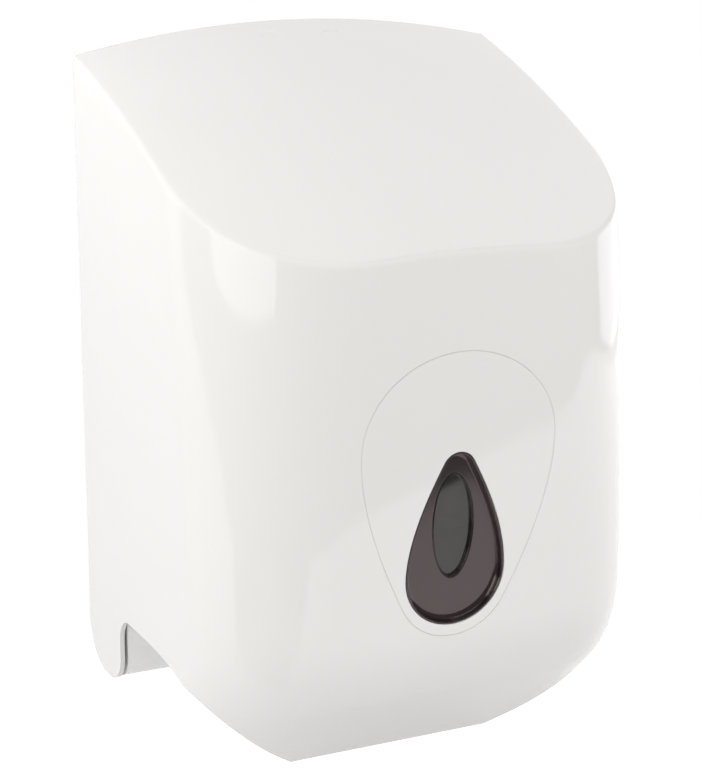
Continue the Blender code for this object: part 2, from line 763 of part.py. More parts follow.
def plate_outline(margin, foot):
    """The plate seen from the front, drawn in by a margin, down to the height of its foot."""
    half = plate_half_width() - margin
    shares = [k / (2 * FRONT_STEPS) for k in range(2 * FRONT_STEPS + 1)]
    crest = [(lerp(half, -half, share), plate_top(lerp(half, -half, share)) - margin) for share in shares]
    return [(half, foot)] + crest + [(-half, foot)]


def barrel_profile(inset, ledge):
    """Side view of the round-bottomed barrel between the feet, from the wall side round to the ledge."""
    points = foot_outline(inset)
    return points[BARREL_OPEN_STEPS:] + [(points[-1][0], ledge)]


def barrel_front():
    return FOOT_REACH - BARREL_INSET


def hinge_cup_floor():
    return foot_boss_tip() - RUNNING_GAP


def wall_slot(x, height, grow, low, high):
    """An upright slot for a wall screw, or the pad round it."""
    radius = WALL_SLOT_RADIUS + grow
    half = WALL_SLOT_STRAIGHT / 2
    outline = arc((x, height + half), radius, 0, math.pi, SLOT_STEPS)
    outline += arc((x, height - half), radius, math.pi, 2 * math.pi, SLOT_STEPS)
    return prism(outline, 1, low, high)


def wall_slot_places():
    places = []
    x = plate_half_width() - WALL_SLOT_SIDE_MARGIN
    for side in (1, -1):
        for height in (plate_top(x) - WALL_SLOT_TOP_MARGIN, LEDGE_HEIGHT + WALL_SLOT_LEDGE_MARGIN):
            places.append((side * x, height))
    return places


def latch_depth():
    """Depth of the rear face of the latch's tongue."""
    return CATCH_DEPTH + CATCH_THICKNESS + 2 * FIT_GAP


def latch_top():
    return catch_height() + LATCH_OVERLAP


def housing_floor():
    """Height of the top of the latch housing's floor."""
    return latch_top() - TONGUE_LENGTH - LATCH_TRAVEL - 2 * FIT_GAP


def housing_back():
    """Depth of the housing's rear face, and of the plate's pad behind it."""
    return latch_depth() - FIT_GAP - HOUSING_WALL


def latch_screw_height():
    return housing_floor() - HOUSING_WALL - HOUSING_FLANGE_DROP / 2


def shelf_screw_places():
    xs = (SHELF_SCREW_INNER_X, plate_half_width() - SHELF_SCREW_SIDE_MARGIN)
    return [(side * x, -SHELF_SCREW_DEPTH) for side in (1, -1) for x in xs]


def back_plate():
    half = plate_half_width()
    ledge_low = LEDGE_HEIGHT - LEDGE_THICKNESS
    body = prism(plate_outline(0, ledge_low), 1, -PLATE_SHEET, 0)
    body.name = "back_plate"
    rim = prism(plate_outline(0, LEDGE_HEIGHT - LEDGE_THICKNESS / 2), 1, -RIM_DEPTH, -PLATE_SHEET / 2)
    cut(rim, prism(plate_outline(RIM_WALL, -OVERRUN), 1, -RIM_DEPTH - OVERRUN, 0))
    break_heights = (plate_top(half) - RIM_BREAK_HALF_WIDTH, plate_top(0) + OVERRUN)
    break_depths = (PLATE_SHEET, RIM_DEPTH + OVERRUN)
    cut(rim, block((-RIM_BREAK_HALF_WIDTH, RIM_BREAK_HALF_WIDTH), break_depths, break_heights))
    join(body, rim)

    outer = barrel_profile(BARREL_INSET, LEDGE_HEIGHT)
    inner = barrel_profile(BARREL_INSET + BARREL_WALL, ledge_low)
    sheet = outer + [(0.0, LEDGE_HEIGHT), (0.0, ledge_low)] + list(reversed(inner))
    join(body, prism(sheet, 0, -half, half))
    end = outer + [(-PLATE_SHEET / 2, LEDGE_HEIGHT), (-PLATE_SHEET / 2, PIVOT_HEIGHT)]
    pivot = (-PIVOT_DEPTH, PIVOT_HEIGHT)
    cup_floor = hinge_cup_floor()
    cup_radius = FOOT_BOSS_RADIUS + FIT_GAP
    for side in (1, -1):
        low, high = sorted((side * (half - BARREL_WALL), side * half))
        join(body, prism(end, 0, low, high))
        low, high = sorted((side * (cup_floor - HINGE_CUP_WALL), side * (half - BARREL_WALL / 2)))
        join(body, rod(0, pivot, cup_radius + HINGE_CUP_WALL, low, high, ROUND_STEPS // 2))
        low, high = sorted((side * cup_floor, side * (half + OVERRUN)))
        cut(body, rod(0, pivot, cup_radius, low, high, ROUND_STEPS // 2))
        low, high = sorted((side * (cup_floor - HINGE_CUP_WALL - OVERRUN), side * half))
        cut(body, rod(0, pivot, PIN_RADIUS + FIT_GAP, low, high))

    rib_heights = (LEDGE_HEIGHT - LEDGE_THICKNESS / 2, plate_top(half) - PLATE_RIB_MARGIN)
    rib_depths = (PLATE_SHEET / 2, PLATE_SHEET + PLATE_RIB_DEPTH)
    for side in (1, -1):
        xs = sorted((side * PLATE_RIB_X, side * (PLATE_RIB_X + PLATE_RIB_WIDTH)))
        join(body, block(xs, rib_depths, rib_heights))
    pad_front = -PLATE_SHEET - WALL_PAD_DEPTH
    pad_grow = WALL_PAD_RADIUS - WALL_SLOT_RADIUS
    for x, height in wall_slot_places():
        join(body, wall_slot(x, height, pad_grow, pad_front, -PLATE_SHEET / 2))
        cut(body, wall_slot(x, height, 0, pad_front - OVERRUN, OVERRUN))

    for x, y in shelf_screw_places():
        low = ledge_low - SHELF_BOSS_LENGTH
        join(body, rod(2, (x, y), SHELF_BOSS_RADIUS, low, LEDGE_HEIGHT - LEDGE_THICKNESS / 2))
        bore = SCREW_SHANK_RADIUS + FIT_GAP
        cut(body, rod(2, (x, y), bore, low + SCREW_SHANK_RADIUS, LEDGE_HEIGHT + OVERRUN))

    pad_half = HOUSING_HALF_WIDTH + LATCH_PAD_MARGIN
    pad_heights = (latch_screw_height() - HOUSING_FLANGE_DROP, housing_floor() + HOUSING_HEIGHT)
    pad_depths = (PLATE_SHEET / 2, housing_back() - FIT_GAP)
    join(body, block((-pad_half, pad_half), pad_depths, pad_heights))
    for side in (1, -1):
        place = (side * LATCH_SCREW_X, latch_screw_height())
        cut(body, rod(1, place, SCREW_SHANK_RADIUS + FIT_GAP, -housing_back(), -PLATE_SHEET / 2))
    return body


def hinge_pins():
    """Pins pressed through the plate's cups from inside into the bores of the cover's feet."""
    bodies = []
    pivot = (-PIVOT_DEPTH, PIVOT_HEIGHT)
    head_seat = hinge_cup_floor() - HINGE_CUP_WALL - FIT_GAP
    tip = foot_bore_end() - FIT_GAP
    for side, word in ((-1, "left"), (1, "right")):
        low, high = sorted((side * (head_seat - PIN_HEAD_LENGTH), side * head_seat))
        body = rod(0, pivot, PIN_HEAD_RADIUS, low, high)
        low, high = sorted((side * (head_seat - PIN_HEAD_LENGTH / 2), side * tip))
        join(body, rod(0, pivot, PIN_RADIUS, low, high))
        body.name = f"hinge_pin_{word}"
        bodies.append(body)
    return bodies


def shelf_outline(margin):
    """The shelf in plan: the cover's inner outline at the shelf's height, drawn in by a margin."""
    height = LEDGE_HEIGHT
    inset = COVER_WALL + SHELF_SIDE_GAP + margin
    half = [plan_point(station, height, inset)[0] for station in half_stations()]
    rear = -RIM_DEPTH - FIT_GAP - margin
    half[0] = Vector((half[0].x, rear))
    return [(p.x, p.y) for p in half] + [(-p.x, p.y) for p in reversed(half[:-1])]


def base_shelf():
    low = LEDGE_HEIGHT + FIT_GAP
    deck = low + SHELF_THICKNESS
    body = prism(shelf_outline(0), 2, low, deck + SHELF_RIM_HEIGHT)
    body.name = "base_shelf"
    cut(body, prism(shelf_outline(SHELF_RIM_WALL), 2, deck, deck + SHELF_RIM_HEIGHT + OVERRUN))
    front_of_barrel = -barrel_front() - FIT_GAP
    profile = [(front_of_barrel, low + SHELF_THICKNESS / 2), (front_of_barrel, low - SHELF_RIB_REAR_DROP)]
    profile += [(-SHELF_RIB_FRONT_DEPTH, low - SHELF_RIB_FRONT_DROP)]
    profile += [(-SHELF_RIB_FRONT_DEPTH, low + SHELF_THICKNESS / 2)]
    for side in (1, -1):
        for x in (SHELF_RIB_INNER_X, SHELF_RIB_OUTER_X):
            start, stop = sorted((side * x, side * (x + SHELF_RIB_WIDTH)))
            join(body, prism(profile, 0, start, stop))
    hole = NOZZLE_NECK_RADIUS + FIT_GAP
    cut(body, rod(2, (0, -roll_depth()), hole, low - OVERRUN, deck + OVERRUN, ROUND_STEPS))
    for place in shelf_screw_places():
        cut(body, rod(2, place, SCREW_SHANK_RADIUS + FIT_GAP, low - OVERRUN, deck + OVERRUN))
    return body


def shelf_screws():
    seat = LEDGE_HEIGHT + 2 * FIT_GAP + SHELF_THICKNESS
    length = SHELF_THICKNESS + LEDGE_THICKNESS + SHELF_BOSS_LENGTH / 2
    bodies = []
    for number, (x, y) in enumerate(shelf_screw_places(), 1):
        bodies.append(screw(f"shelf_screw_{number}", (x, y, seat), (0, 0, -1), length))
    return bodies


def roll_depth():
    """Depth of the roll's middle, halfway between the back plate and the cover's front."""
    return (PLATE_SHEET + COVER_DEPTH - COVER_WALL) / 2


def nozzle_levels():
    """Heights of the nozzle's flange seat, neck's end, cone's end and mouth's end."""
    seat = LEDGE_HEIGHT + 2 * FIT_GAP + SHELF_THICKNESS
    neck = seat - NOZZLE_NECK_LENGTH
    cone = neck - NOZZLE_CONE_LENGTH
    return seat, neck, cone, cone - NOZZLE_MOUTH_LENGTH


def outlet_nozzle():
    """A funnel whose flange lies on the shelf and whose mouth holds the tear ring."""
    seat, neck, cone, mouth = nozzle_levels()
    inner_neck = NOZZLE_NECK_RADIUS - NOZZLE_WALL
    inner_mouth = NOZZLE_MOUTH_RADIUS - NOZZLE_WALL
    profile = [(NOZZLE_FLANGE_RADIUS, seat), (NOZZLE_FLANGE_RADIUS, seat + NOZZLE_FLANGE_THICKNESS)]
    profile += [(inner_neck, seat + NOZZLE_FLANGE_THICKNESS), (inner_neck, neck)]
    profile += [(inner_mouth, cone), (inner_mouth, mouth + TEAR_RING_SEAT + TEAR_RING_THICKNESS + FIT_GAP)]
    groove = inner_mouth + NOZZLE_WALL / 2
    profile += [(groove, mouth + TEAR_RING_SEAT + TEAR_RING_THICKNESS + FIT_GAP)]
    profile += [(groove, mouth + TEAR_RING_SEAT - FIT_GAP), (inner_mouth, mouth + TEAR_RING_SEAT - FIT_GAP)]
    profile += [(inner_mouth, mouth), (NOZZLE_MOUTH_RADIUS, mouth), (NOZZLE_MOUTH_RADIUS, cone)]
    profile += [(NOZZLE_NECK_RADIUS, neck), (NOZZLE_NECK_RADIUS, seat)]
    body = turned(profile, (0, -roll_depth()))
    body.name = "outlet_nozzle"
    return body


def tear_ring():
    """A flat ring with teeth that point inwards, snapped into the nozzle's mouth."""
    _, _, _, mouth = nozzle_levels()
    low = mouth + TEAR_RING_SEAT
    outer_radius = NOZZLE_MOUTH_RADIUS - NOZZLE_WALL / 2 - FIT_GAP
    centre = (0, -roll_depth())
    outer = circle(centre, outer_radius, 2 * TOOTH_COUNT)
    inner = []
    for k in range(2 * TOOTH_COUNT):
        angle = math.pi * k / TOOTH_COUNT
        radius = TOOTH_TIP_RADIUS if k % 2 else TOOTH_ROOT_RADIUS
        inner.append((centre[0] + radius * math.cos(angle), centre[1] + radius * math.sin(angle)))
    points = []
    for level in (low, low + TEAR_RING_THICKNESS):
        points += [Vector((x, y, level)) for x, y in outer + inner]
    count = len(outer)
    faces = []
    for k in range(count):
        after = (k + 1) % count
        quad = (k, after, count + after, count + k)
        faces.append(quad)
        faces.append(tuple(2 * count + index for index in reversed(quad)))
        for loop in (0, count):
            faces.append((loop + k, loop + after, 2 * count + loop + after, 2 * count + loop + k))
    body = solid("tear_ring", points, faces)
    return body


def nozzle_collar():
    """The ring that grips the nozzle's neck under the shelf."""
    top = LEDGE_HEIGHT
    inner = NOZZLE_NECK_RADIUS + FIT_GAP
    profile = [(inner, top - COLLAR_HEIGHT), (inner, top), (COLLAR_RADIUS, top)]
    profile += [(COLLAR_RADIUS, top - COLLAR_HEIGHT)]
    body = turned(profile, (0, -roll_depth()))
    body.name = "nozzle_collar"
    return body


# The latch

def latch_bar():
    """The sliding tongue that blocks the cover's catch, with the pads that the key presses."""
    rear = latch_depth()
    front = rear + TONGUE_THICKNESS
    top = latch_top()
    foot = top - TONGUE_LENGTH
    body = block((-TONGUE_HALF_WIDTH, TONGUE_HALF_WIDTH), (rear, front), (foot, top))
    body.name = "latch_bar"
    ear_x = TONGUE_HALF_WIDTH + EAR_LENGTH
    join(body, block((-ear_x, ear_x), (rear, front), (foot, foot + EAR_HEIGHT)))
    pad_top = top - PAD_DROP
    pad_low = pad_top - PAD_THICKNESS
    pad = (front - TONGUE_THICKNESS / 2, front + PAD_DEPTH)
    join(body, block((-TONGUE_HALF_WIDTH, TONGUE_HALF_WIDTH), pad, (pad_low, pad_top)))
    post = (pad_low - SPRING_POST_LENGTH, pad_top - PAD_THICKNESS / 2, SPRING_POINTS_PER_TURN)
    for place in spring_places():
        join(body, rod(2, place, SPRING_POST_RADIUS, *post))
    return body


def spring_places():
    y = -(latch_depth() + TONGUE_THICKNESS + PAD_DEPTH / 2)
    return [(-KEY_HOLE_X, y), (KEY_HOLE_X, y)]


def spring_heights():
    return housing_floor() + FIT_GAP, latch_top() - PAD_DROP - PAD_THICKNESS - FIT_GAP


def latch_housing():
    """An open-topped box with a screwed flange, which guides the latch bar and seats its springs."""
    rear = housing_back()
    front = latch_depth() + TONGUE_THICKNESS + PAD_DEPTH + 2 * FIT_GAP + HOUSING_WALL
    half = HOUSING_HALF_WIDTH
    floor = housing_floor()
    low = floor - HOUSING_WALL
    body = block((-half, half), (rear, front), (low, floor + HOUSING_HEIGHT))
    body.name = "latch_housing"
    cavity_half = TONGUE_HALF_WIDTH + EAR_LENGTH + FIT_GAP
    cavity = (latch_depth() - FIT_GAP, front - HOUSING_WALL)
    lip = latch_top() - TONGUE_LENGTH + EAR_HEIGHT + FIT_GAP
    cut(body, block((-cavity_half, cavity_half), cavity, (floor, lip)))
    throat_half = TONGUE_HALF_WIDTH + FIT_GAP
    throat = (floor + EAR_HEIGHT / 2, floor + HOUSING_HEIGHT + OVERRUN)
    cut(body, block((-throat_half, throat_half), cavity, throat))
    flange = (low - HOUSING_FLANGE_DROP, low + HOUSING_WALL / 2)
    join(body, block((-half, half), (rear, rear + HOUSING_WALL), flange))
    post = (floor - HOUSING_WALL / 2, floor + SPRING_POST_LENGTH, SPRING_POINTS_PER_TURN)
    for place in spring_places():
        join(body, rod(2, place, SPRING_POST_RADIUS, *post))
    for side in (1, -1):
        place = (side * LATCH_SCREW_X, latch_screw_height())
        bore = SCREW_SHANK_RADIUS + FIT_GAP
        cut(body, rod(1, place, bore, -rear - HOUSING_WALL - OVERRUN, -rear + OVERRUN))
    return body


def latch_screws():
    bodies = []
    for side, word in ((-1, "left"), (1, "right")):
        seat_depth = housing_back() + HOUSING_WALL + FIT_GAP
        seat = (side * LATCH_SCREW_X, -seat_depth, latch_screw_height())
        length = seat_depth - PLATE_SHEET / 2 - 2 * FIT_GAP
        bodies.append(screw(f"latch_screw_{word}", seat, (0, 1, 0), length))
    return bodies


def latch_springs():
    """Compression springs under the latch bar, each one unbroken wire."""
    low, high = spring_heights()
    low += SPRING_WIRE_RADIUS
    high -= SPRING_WIRE_RADIUS
    count = SPRING_TURNS * SPRING_POINTS_PER_TURN
    pitch = (high - low) / SPRING_TURNS
    print("spring: least gap between turns", round((pitch - 2 * SPRING_WIRE_RADIUS) * 1000, 2), "mm")
    bodies = []
    for (x, y), word in zip(spring_places(), ("left", "right")):
        curve = bpy.data.curves.new(f"latch_spring_{word}", 'CURVE')
        curve.dimensions = '3D'
        curve.bevel_depth = SPRING_WIRE_RADIUS
        curve.bevel_resolution = 1
        curve.use_fill_caps = True
        line = curve.splines.new('POLY')
        line.points.add(count)
        for k in range(count + 1):
            angle = 2 * math.pi * k / SPRING_POINTS_PER_TURN
            place = (x + SPRING_RADIUS * math.cos(angle), y + SPRING_RADIUS * math.sin(angle))
            line.points[k].co = (*place, lerp(low, high, k / count), 1)
        body = bpy.data.objects.new(curve.name, curve)
        bpy.context.scene.collection.objects.link(body)
        bodies.append(body)
    return bodies


# Materials and the assembly

def material(name, colour, roughness, metallic=0.0):
    made = bpy.data.materials.new(name)
    made.use_nodes = True
    shader = made.node_tree.nodes["Principled BSDF"]
    shader.inputs["Base Color"].default_value = (*colour, 1)
    shader.inputs["Roughness"].default_value = roughness
    shader.inputs["Metallic"].default_value = metallic
    return made


def empty(name, place, parent=None):
    made = bpy.data.objects.new(name, None)
    made.location = place
    made.parent = parent
    bpy.context.scene.collection.objects.link(made)
    return made


def hang(bodies, parent, place, finish, round_piece=False):
    """Parent bodies, whose meshes are in the dispenser's frame, to an empty at a place."""
    for body in bodies:
        body.parent = parent
        body.location = -Vector(place)
        body.data.name = body.name
        body.data.materials.clear()
        body.data.materials.append(finish)
        if round_piece:
            body.data.shade_smooth()
            body.data.set_sharp_from_angle(angle=SMOOTH_BELOW)


def build():
    for old in list(bpy.data.objects):
        bpy.data.objects.remove(old)
    white = material("white_plastic", WHITE, 0.25)
    grey = material("grey_plastic", GREY, 0.45)
    smoke = material("smoked_plastic", SMOKE, 0.08)
    steel = material("plated_steel", STEEL, 0.35, 1.0)

    dispenser = empty("dispenser", (0, 0, -ORIGIN_HEIGHT))
    hang([back_plate(), base_shelf(), latch_housing()], dispenser, (0, 0, 0), white)
    hang([outlet_nozzle(), nozzle_collar()], dispenser, (0, 0, 0), grey, True)
    hang([tear_ring()], dispenser, (0, 0, 0), grey)
    hang(hinge_pins() + shelf_screws() + latch_screws(), dispenser, (0, 0, 0), steel, True)
    hang(latch_springs(), dispenser, (0, 0, 0), steel)

    pivot = (0, -PIVOT_DEPTH, PIVOT_HEIGHT)
    cover = empty("cover_pivot", pivot, dispenser)
    hang([front_cover(), window_panel(), window_retainer()], cover, pivot, white, True)
    hang([window_lens()], cover, pivot, smoke, True)
    hang(window_screws(), cover, pivot, steel, True)

    slide = (0, -latch_depth(), latch_top())
    hang([latch_bar()], empty("latch_slide", slide, dispenser), slide, grey)


build()
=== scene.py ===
"""Looks of the centrefeed roll dispenser: finer skins over the solids, materials, studio light and camera.

Lengths are in metres. Heights are measured up from the lowest edge of the cover's chin and depths
forward from the wall, as in the solids; a piece moves to the row frame when it is hung on its body.
"""
import math

import bmesh
import bpy
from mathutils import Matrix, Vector


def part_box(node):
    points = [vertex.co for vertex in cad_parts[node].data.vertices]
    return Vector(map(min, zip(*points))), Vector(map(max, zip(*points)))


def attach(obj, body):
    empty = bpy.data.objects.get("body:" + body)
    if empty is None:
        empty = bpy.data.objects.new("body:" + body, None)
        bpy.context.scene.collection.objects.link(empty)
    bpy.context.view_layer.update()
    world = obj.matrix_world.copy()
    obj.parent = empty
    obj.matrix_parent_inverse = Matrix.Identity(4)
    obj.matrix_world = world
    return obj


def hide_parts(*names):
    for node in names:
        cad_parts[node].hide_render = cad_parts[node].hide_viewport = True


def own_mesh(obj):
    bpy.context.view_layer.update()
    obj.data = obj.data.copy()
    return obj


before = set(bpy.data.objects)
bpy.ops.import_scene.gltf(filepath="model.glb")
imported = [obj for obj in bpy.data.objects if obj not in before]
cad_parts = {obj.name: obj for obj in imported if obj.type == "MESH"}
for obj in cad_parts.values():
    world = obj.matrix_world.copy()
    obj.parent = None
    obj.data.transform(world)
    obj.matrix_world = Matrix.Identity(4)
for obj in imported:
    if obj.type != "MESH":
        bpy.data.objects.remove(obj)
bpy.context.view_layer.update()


# Height of the row frame's origin above the chin's edge
ORIGIN_HEIGHT = 0.200

# Cover form: overall sizes and the top
COVER_WIDTH = 0.2445
COVER_DEPTH = 0.2070
SIDE_HEIGHT = 0.3563
TOP_CROWN = 0.0139
TOP_RUN = 0.200
TOP_DROP = 0.0848
TOP_STRAIGHT_SHARE = 0.62
SIDE_TAPER = math.radians(1.12)
SIDE_DRAFT = math.radians(0.195)
COVER_WALL = 0.0025
RIDGE_FILLET = 0.0024
REAR_GAP = 0.0005

# Cover form: the front, which leans a little, and the chin that curves under it
FRONT_RADIUS = 2.270
FRONT_APEX_HEIGHT = 0.265
CHIN_DEPTH = 0.1302
CHIN_ANGLE = math.radians(46.35)
CHIN_BLEND = 0.0716
CHIN_CORNER = 0.053
RIDGE_CORNER = 0.0789
CORNER_START_HEIGHT = 0.092
CORNER_END_HEIGHT = 0.281
CORNER_GROWTH_POWER = 1.13

# Cover form: its lower edge, which rises to the sides, and the two round feet at the hinge
CHIN_HALF_WIDTH = 0.0574
LOWER_EDGE_START_ANGLE = math.radians(39)
LOWER_EDGE_END_ANGLE = math.radians(48)
LOWER_EDGE_RADIUS = 0.630
SIDE_EDGE_HEIGHT = 0.0632
SIDE_EDGE_RADIUS = 0.205
SIDE_EDGE_LEVEL_DEPTH = 0.092
SIDE_EDGE_END_DEPTH = 0.152
FOOT_FILLET = 0.014

# Cover hinge
PIVOT_DEPTH = 0.025
PIVOT_HEIGHT = 0.0466
FOOT_RADIUS = 0.0243
FOOT_REAR_ANGLE = math.radians(5)
FOOT_REACH = 0.0486
TOE_RADIUS = 0.0166
PIN_RADIUS = 0.003
FOOT_BOSS_RADIUS = 0.0075
FOOT_BOSS_LENGTH = 0.0058
FOOT_BORE_SKIN = 0.0008

# Fits
FIT_GAP = 0.0003
OVERRUN = 0.004
MERGE_DISTANCE = 0.000003

# Window panel, an egg with its small end down
EGG_WIDEST_HEIGHT = 0.186
EGG_SIDE_MARGIN = 0.0018
EGG_TOP_RISE = 0.0472
EGG_SMALL_SHARE = 0.59
EGG_SMALL_DROP = 0.0683
EGG_FLANK_ANGLE = math.radians(27)
PANEL_SEAT_DEPTH = 0.0015
PANEL_LEDGE = 0.003
PANEL_THICKNESS = 0.0012
POCKET_FLOOR = 0.0018
POCKET_WALL = 0.0016

# Window lens, a drop with its small end up, with an oval sight glass in its floor; the shares are of
# the egg's half width, and the drops down from its widest height
DROP_WIDEST_DROP = 0.066
DROP_WIDTH_SHARE = 0.5125
DROP_SMALL_SHARE = 0.1715
DROP_SMALL_DROP = 0.0123
DROP_FLANK_ANGLE = math.radians(28.5)
LENS_WALL = 0.0016
LENS_DISH_DEPTH = 0.0043
OVAL_WIDTH_SHARE = 0.2287
OVAL_HALF_HEIGHT = 0.028
OVAL_DROP = 0.0423
PEG_RADIUS = 0.0015
PEG_INSET = 0.008

# Window retainer and the bosses for its screws
RETAINER_THICKNESS = 0.002
WINDOW_SCREW_UPPER_SHARE = 0.648
WINDOW_SCREW_UPPER_RISE = 0.014
WINDOW_SCREW_LOWER_SHARE = 0.629
WINDOW_SCREW_LOWER_DROP = 0.029
WINDOW_BOSS_RADIUS = 0.0028

# Screws
SCREW_SHANK_RADIUS = 0.0012
SCREW_HEAD_RADIUS = 0.0042
SCREW_HEAD_LENGTH = 0.0018
SCREW_NUMBERS = (1, 2, 3, 4)

# Catch, latch and key holes at the top
CATCH_HALF_WIDTH = 0.028
CATCH_THICKNESS = 0.0025
CATCH_DEPTH = 0.009
CATCH_DROP = 0.007
KEY_HOLE_X = 0.018
KEY_HOLE_HALF_LENGTH = 0.004
KEY_HOLE_HALF_WIDTH = 0.0012
KEY_HOLE_DEPTH = 0.0175
SPRING_RADIUS = 0.0025
SPRING_WIRE_RADIUS = 0.00045
SPRING_TURNS = 7

# Fineness of the meshes
SIDE_STEPS = 10
CORNER_STEPS = 36
FRONT_STEPS = 10
CHIN_STEPS = 20
WALL_STEPS = 30
FILLET_STEPS = 8
RIDGE_ROUNDS = 14
OUTLINE_STEPS = 28
FOOT_STEPS = 48
ROUND_STEPS = 64
SMALL_ROUND_STEPS = 32
SLOT_STEPS = 18
SMOOTH_BELOW = math.radians(40)

# The lens's rounded rim, the fillet and lean of its dish, and the groove round its sight glass
LENS_EDGE = 0.0003
LENS_RIM = 0.0005
LENS_DRAFT = 0.0004
LENS_FILLET = 0.0036
LENS_FILLET_UPPER_SPREAD = 0.0007
LENS_FILLET_LOWER_SPREAD = 0.0032
LENS_ROUND_STEPS = 5
OVAL_EDGE = 0.0002
GROOVE_WIDTH = 0.0008
GROOVE_DEPTH = 0.0005
GROOVE_STEPS = 6
DISH_LEAN = -0.021
DISH_PIVOT_DROP = 0.0485
DISH_TOP_DROP = 0.006
DISH_BOTTOM_DROP = 0.092
DISH_STEPS = 6

# Other small forms of the scene's: the panel's seam, the key holes' mouths, screws and springs
SEAM_GAP = 0.00006
KEY_LEAD_DEPTH = 0.0007
KEY_LEAD_INSET = 0.0010
HEAD_STEPS = 6
SCREW_STEPS = 20
THREAD_PITCH = 0.0009
THREAD_DEPTH = 0.0003
RECESS_HALF_LENGTH = 0.0021
RECESS_HALF_WIDTH = 0.0004
RECESS_DEPTH = 0.0011
COIL_STEPS = 24
COIL_CLOSING_SHARE = 0.08
WIRE_STEPS = 8

# Materials: colours, pairs of roughness, scales in cycles a metre and heights
WHITE = (0.80, 0.79, 0.77)
WHITE_SHADE = (0.775, 0.762, 0.742)
WHITE_ROUGHNESS = (0.035, 0.07)
# The inner parts' two whites are lighter than the cover's: painted light on the back plate's barrel and
# the other parts that sit in the shade under the cover.
INNER_WHITE_WITH_PAINTED_LIGHT = (0.90, 0.895, 0.885)
INNER_SHADE_WITH_PAINTED_LIGHT = (0.88, 0.873, 0.86)
INNER_ROUGHNESS = (0.22, 0.32)
GREY = (0.42, 0.42, 0.42)
GREY_SHADE = (0.37, 0.37, 0.375)
GREY_ROUGHNESS = (0.35, 0.48)
SMOKE_DEEP = (0.008, 0.005, 0.005)
SMOKE_LIGHT = (0.014, 0.009, 0.009)
SMOKE_TINT = (1.0, 0.86, 0.85)
SMOKE_IOR = 1.6
SMOKE_ALPHA = 0.94
SMOKE_ROUGHNESS = (0.10, 0.15)
SMOKE_COAT = 0.85
SMOKE_COAT_ROUGHNESS = 0.12
GLASS_DEEP = (0.006, 0.006, 0.006)
GLASS_LIGHT = (0.020, 0.018, 0.018)
GLASS_TINT = (1.0, 0.95, 0.93)
GLASS_ALPHA = 0.9
GLASS_ROUGHNESS = 0.06
GLASS_COAT = 0.4
GLASS_COAT_ROUGHNESS = 0.04
STEEL_DULL = (0.46, 0.46, 0.47)
STEEL_BRIGHT = (0.60, 0.60, 0.61)
STEEL_ROUGHNESS = (0.24, 0.42)
PLASTIC_IOR = 1.5
NOISE_LOW = 0.35
NOISE_HIGH = 0.65
DRIFT_SCALE = 7.0
SMUDGE_SCALE = 38.0
SMUDGE_DETAIL = 5.0
GRAIN_SCALE = 900.0
GRAIN_HEIGHT = 0.0000012
COARSE_GRAIN_HEIGHT = 0.00002
FINE_GRAIN_SCALE = 500.0
FINE_GRAIN_HEIGHT = 0.000001
SMOKE_DRIFT_SCALE = 60.0
MOTTLE_SCALE = 160.0
MOTTLE_DETAIL = 6.0
PLATING_SCALE = 400.0
PLATING_DETAIL = 4.0
SCRATCH_SCALE = 2500.0
SCRATCH_DETAIL = 3.0
SCRATCH_DEPTH = 0.00001
EDGE_ROUNDING = 0.0008
WIRE_ROUNDING = 0.0001
ROUNDING_SAMPLES = 4

# Studio: the room and the backdrop's brightness, and the floor
AMBIENT = 0.605
ROOM = 0.22
BACKDROP_RISE_SHARE = 0.5
BACKDROP_EDGE = (0.57, 0.63)
FLOOR_WIDTH = 5.0
FLOOR_HEIGHT = -1.2
FLOOR_GREY = 0.8
FLOOR_ROUGHNESS = 0.6

# Studio: the white sheet under the dispenser, its corners in turn along the left, the step in its front
# edge, the front, the right and the back
CARD_HEIGHT = -0.2
CARD_GREY = 0.75
CARD_ROUGHNESS = 0.9
# The sheet's glow, and a painted shadow of the dispenser in it: within the first radius of the centre the
# glow drops to the shadow's level, and by the second it is back to the full glow.
CARD_SHINE = 0.42
CARD_PAINTED_SHADOW = 0.12
CARD_PAINTED_SHADOW_CENTRE = (0.0, -0.08, CARD_HEIGHT)
CARD_PAINTED_SHADOW_RADII = (0.06, 0.14)
CARD_CORNERS = (
    (-1.22, 1.01), (-1.03, 0.26), (-0.85, -0.04), (-0.58, -0.22), (-0.10, -0.22), (-0.12, -0.54),
    (0.09, -0.51), (0.38, -0.70), (0.93, -0.60), (1.10, -0.40), (1.10, 1.20), (0.50, 2.80), (-1.50, 2.40),
)

# Studio: the lamps, each with its bearing from -Y and its rise in degrees, its distance from the centre,
# its size, its power in watts and whether it shows in the gloss
LAMP_CENTRE = (-0.1, -0.18, 0.06)
LAMPS = (
    ("left_softbox", -77, 12.4, 1.5, (1.50, 1.10), 8.9, True),
    ("right_softbox", 107.6, -0.3, 1.118, (0.82, 0.47), 1.65, True),
    ("top_softbox", 0, 64, 1.7, (2.0, 0.10), 2.8, True),
    ("front_fill", 54, 24, 1.7, (1.6, 1.0), 10.6, False),
    ("side_fill", -118, 32, 0.5, (0.3, 0.2), 0.72, False),
    ("low_fill", -5, -42, 1.1, (1.2, 0.7), 1.3, False),
    ("notch_fill", -50, -14, 0.8, (0.4, 0.12), 0.42, False),
)

# Camera, as solved from the photo
CAMERA_PLACE = (-0.4665, -1.0792, 0.2881)
CAMERA_YAW = math.radians(25.07)
CAMERA_PITCH = math.radians(15.47)
CAMERA_LENS_MM = 99.67
CAMERA_SENSOR_MM = 36
CAMERA_CLIP_START = 0.01


def lerp(low, high, share):
    return low + (high - low) * share


def between(first, second, share):
    """A point of a plane that lies a share of the way from one to another."""
    return lerp(first[0], second[0], share), lerp(first[1], second[1], share)


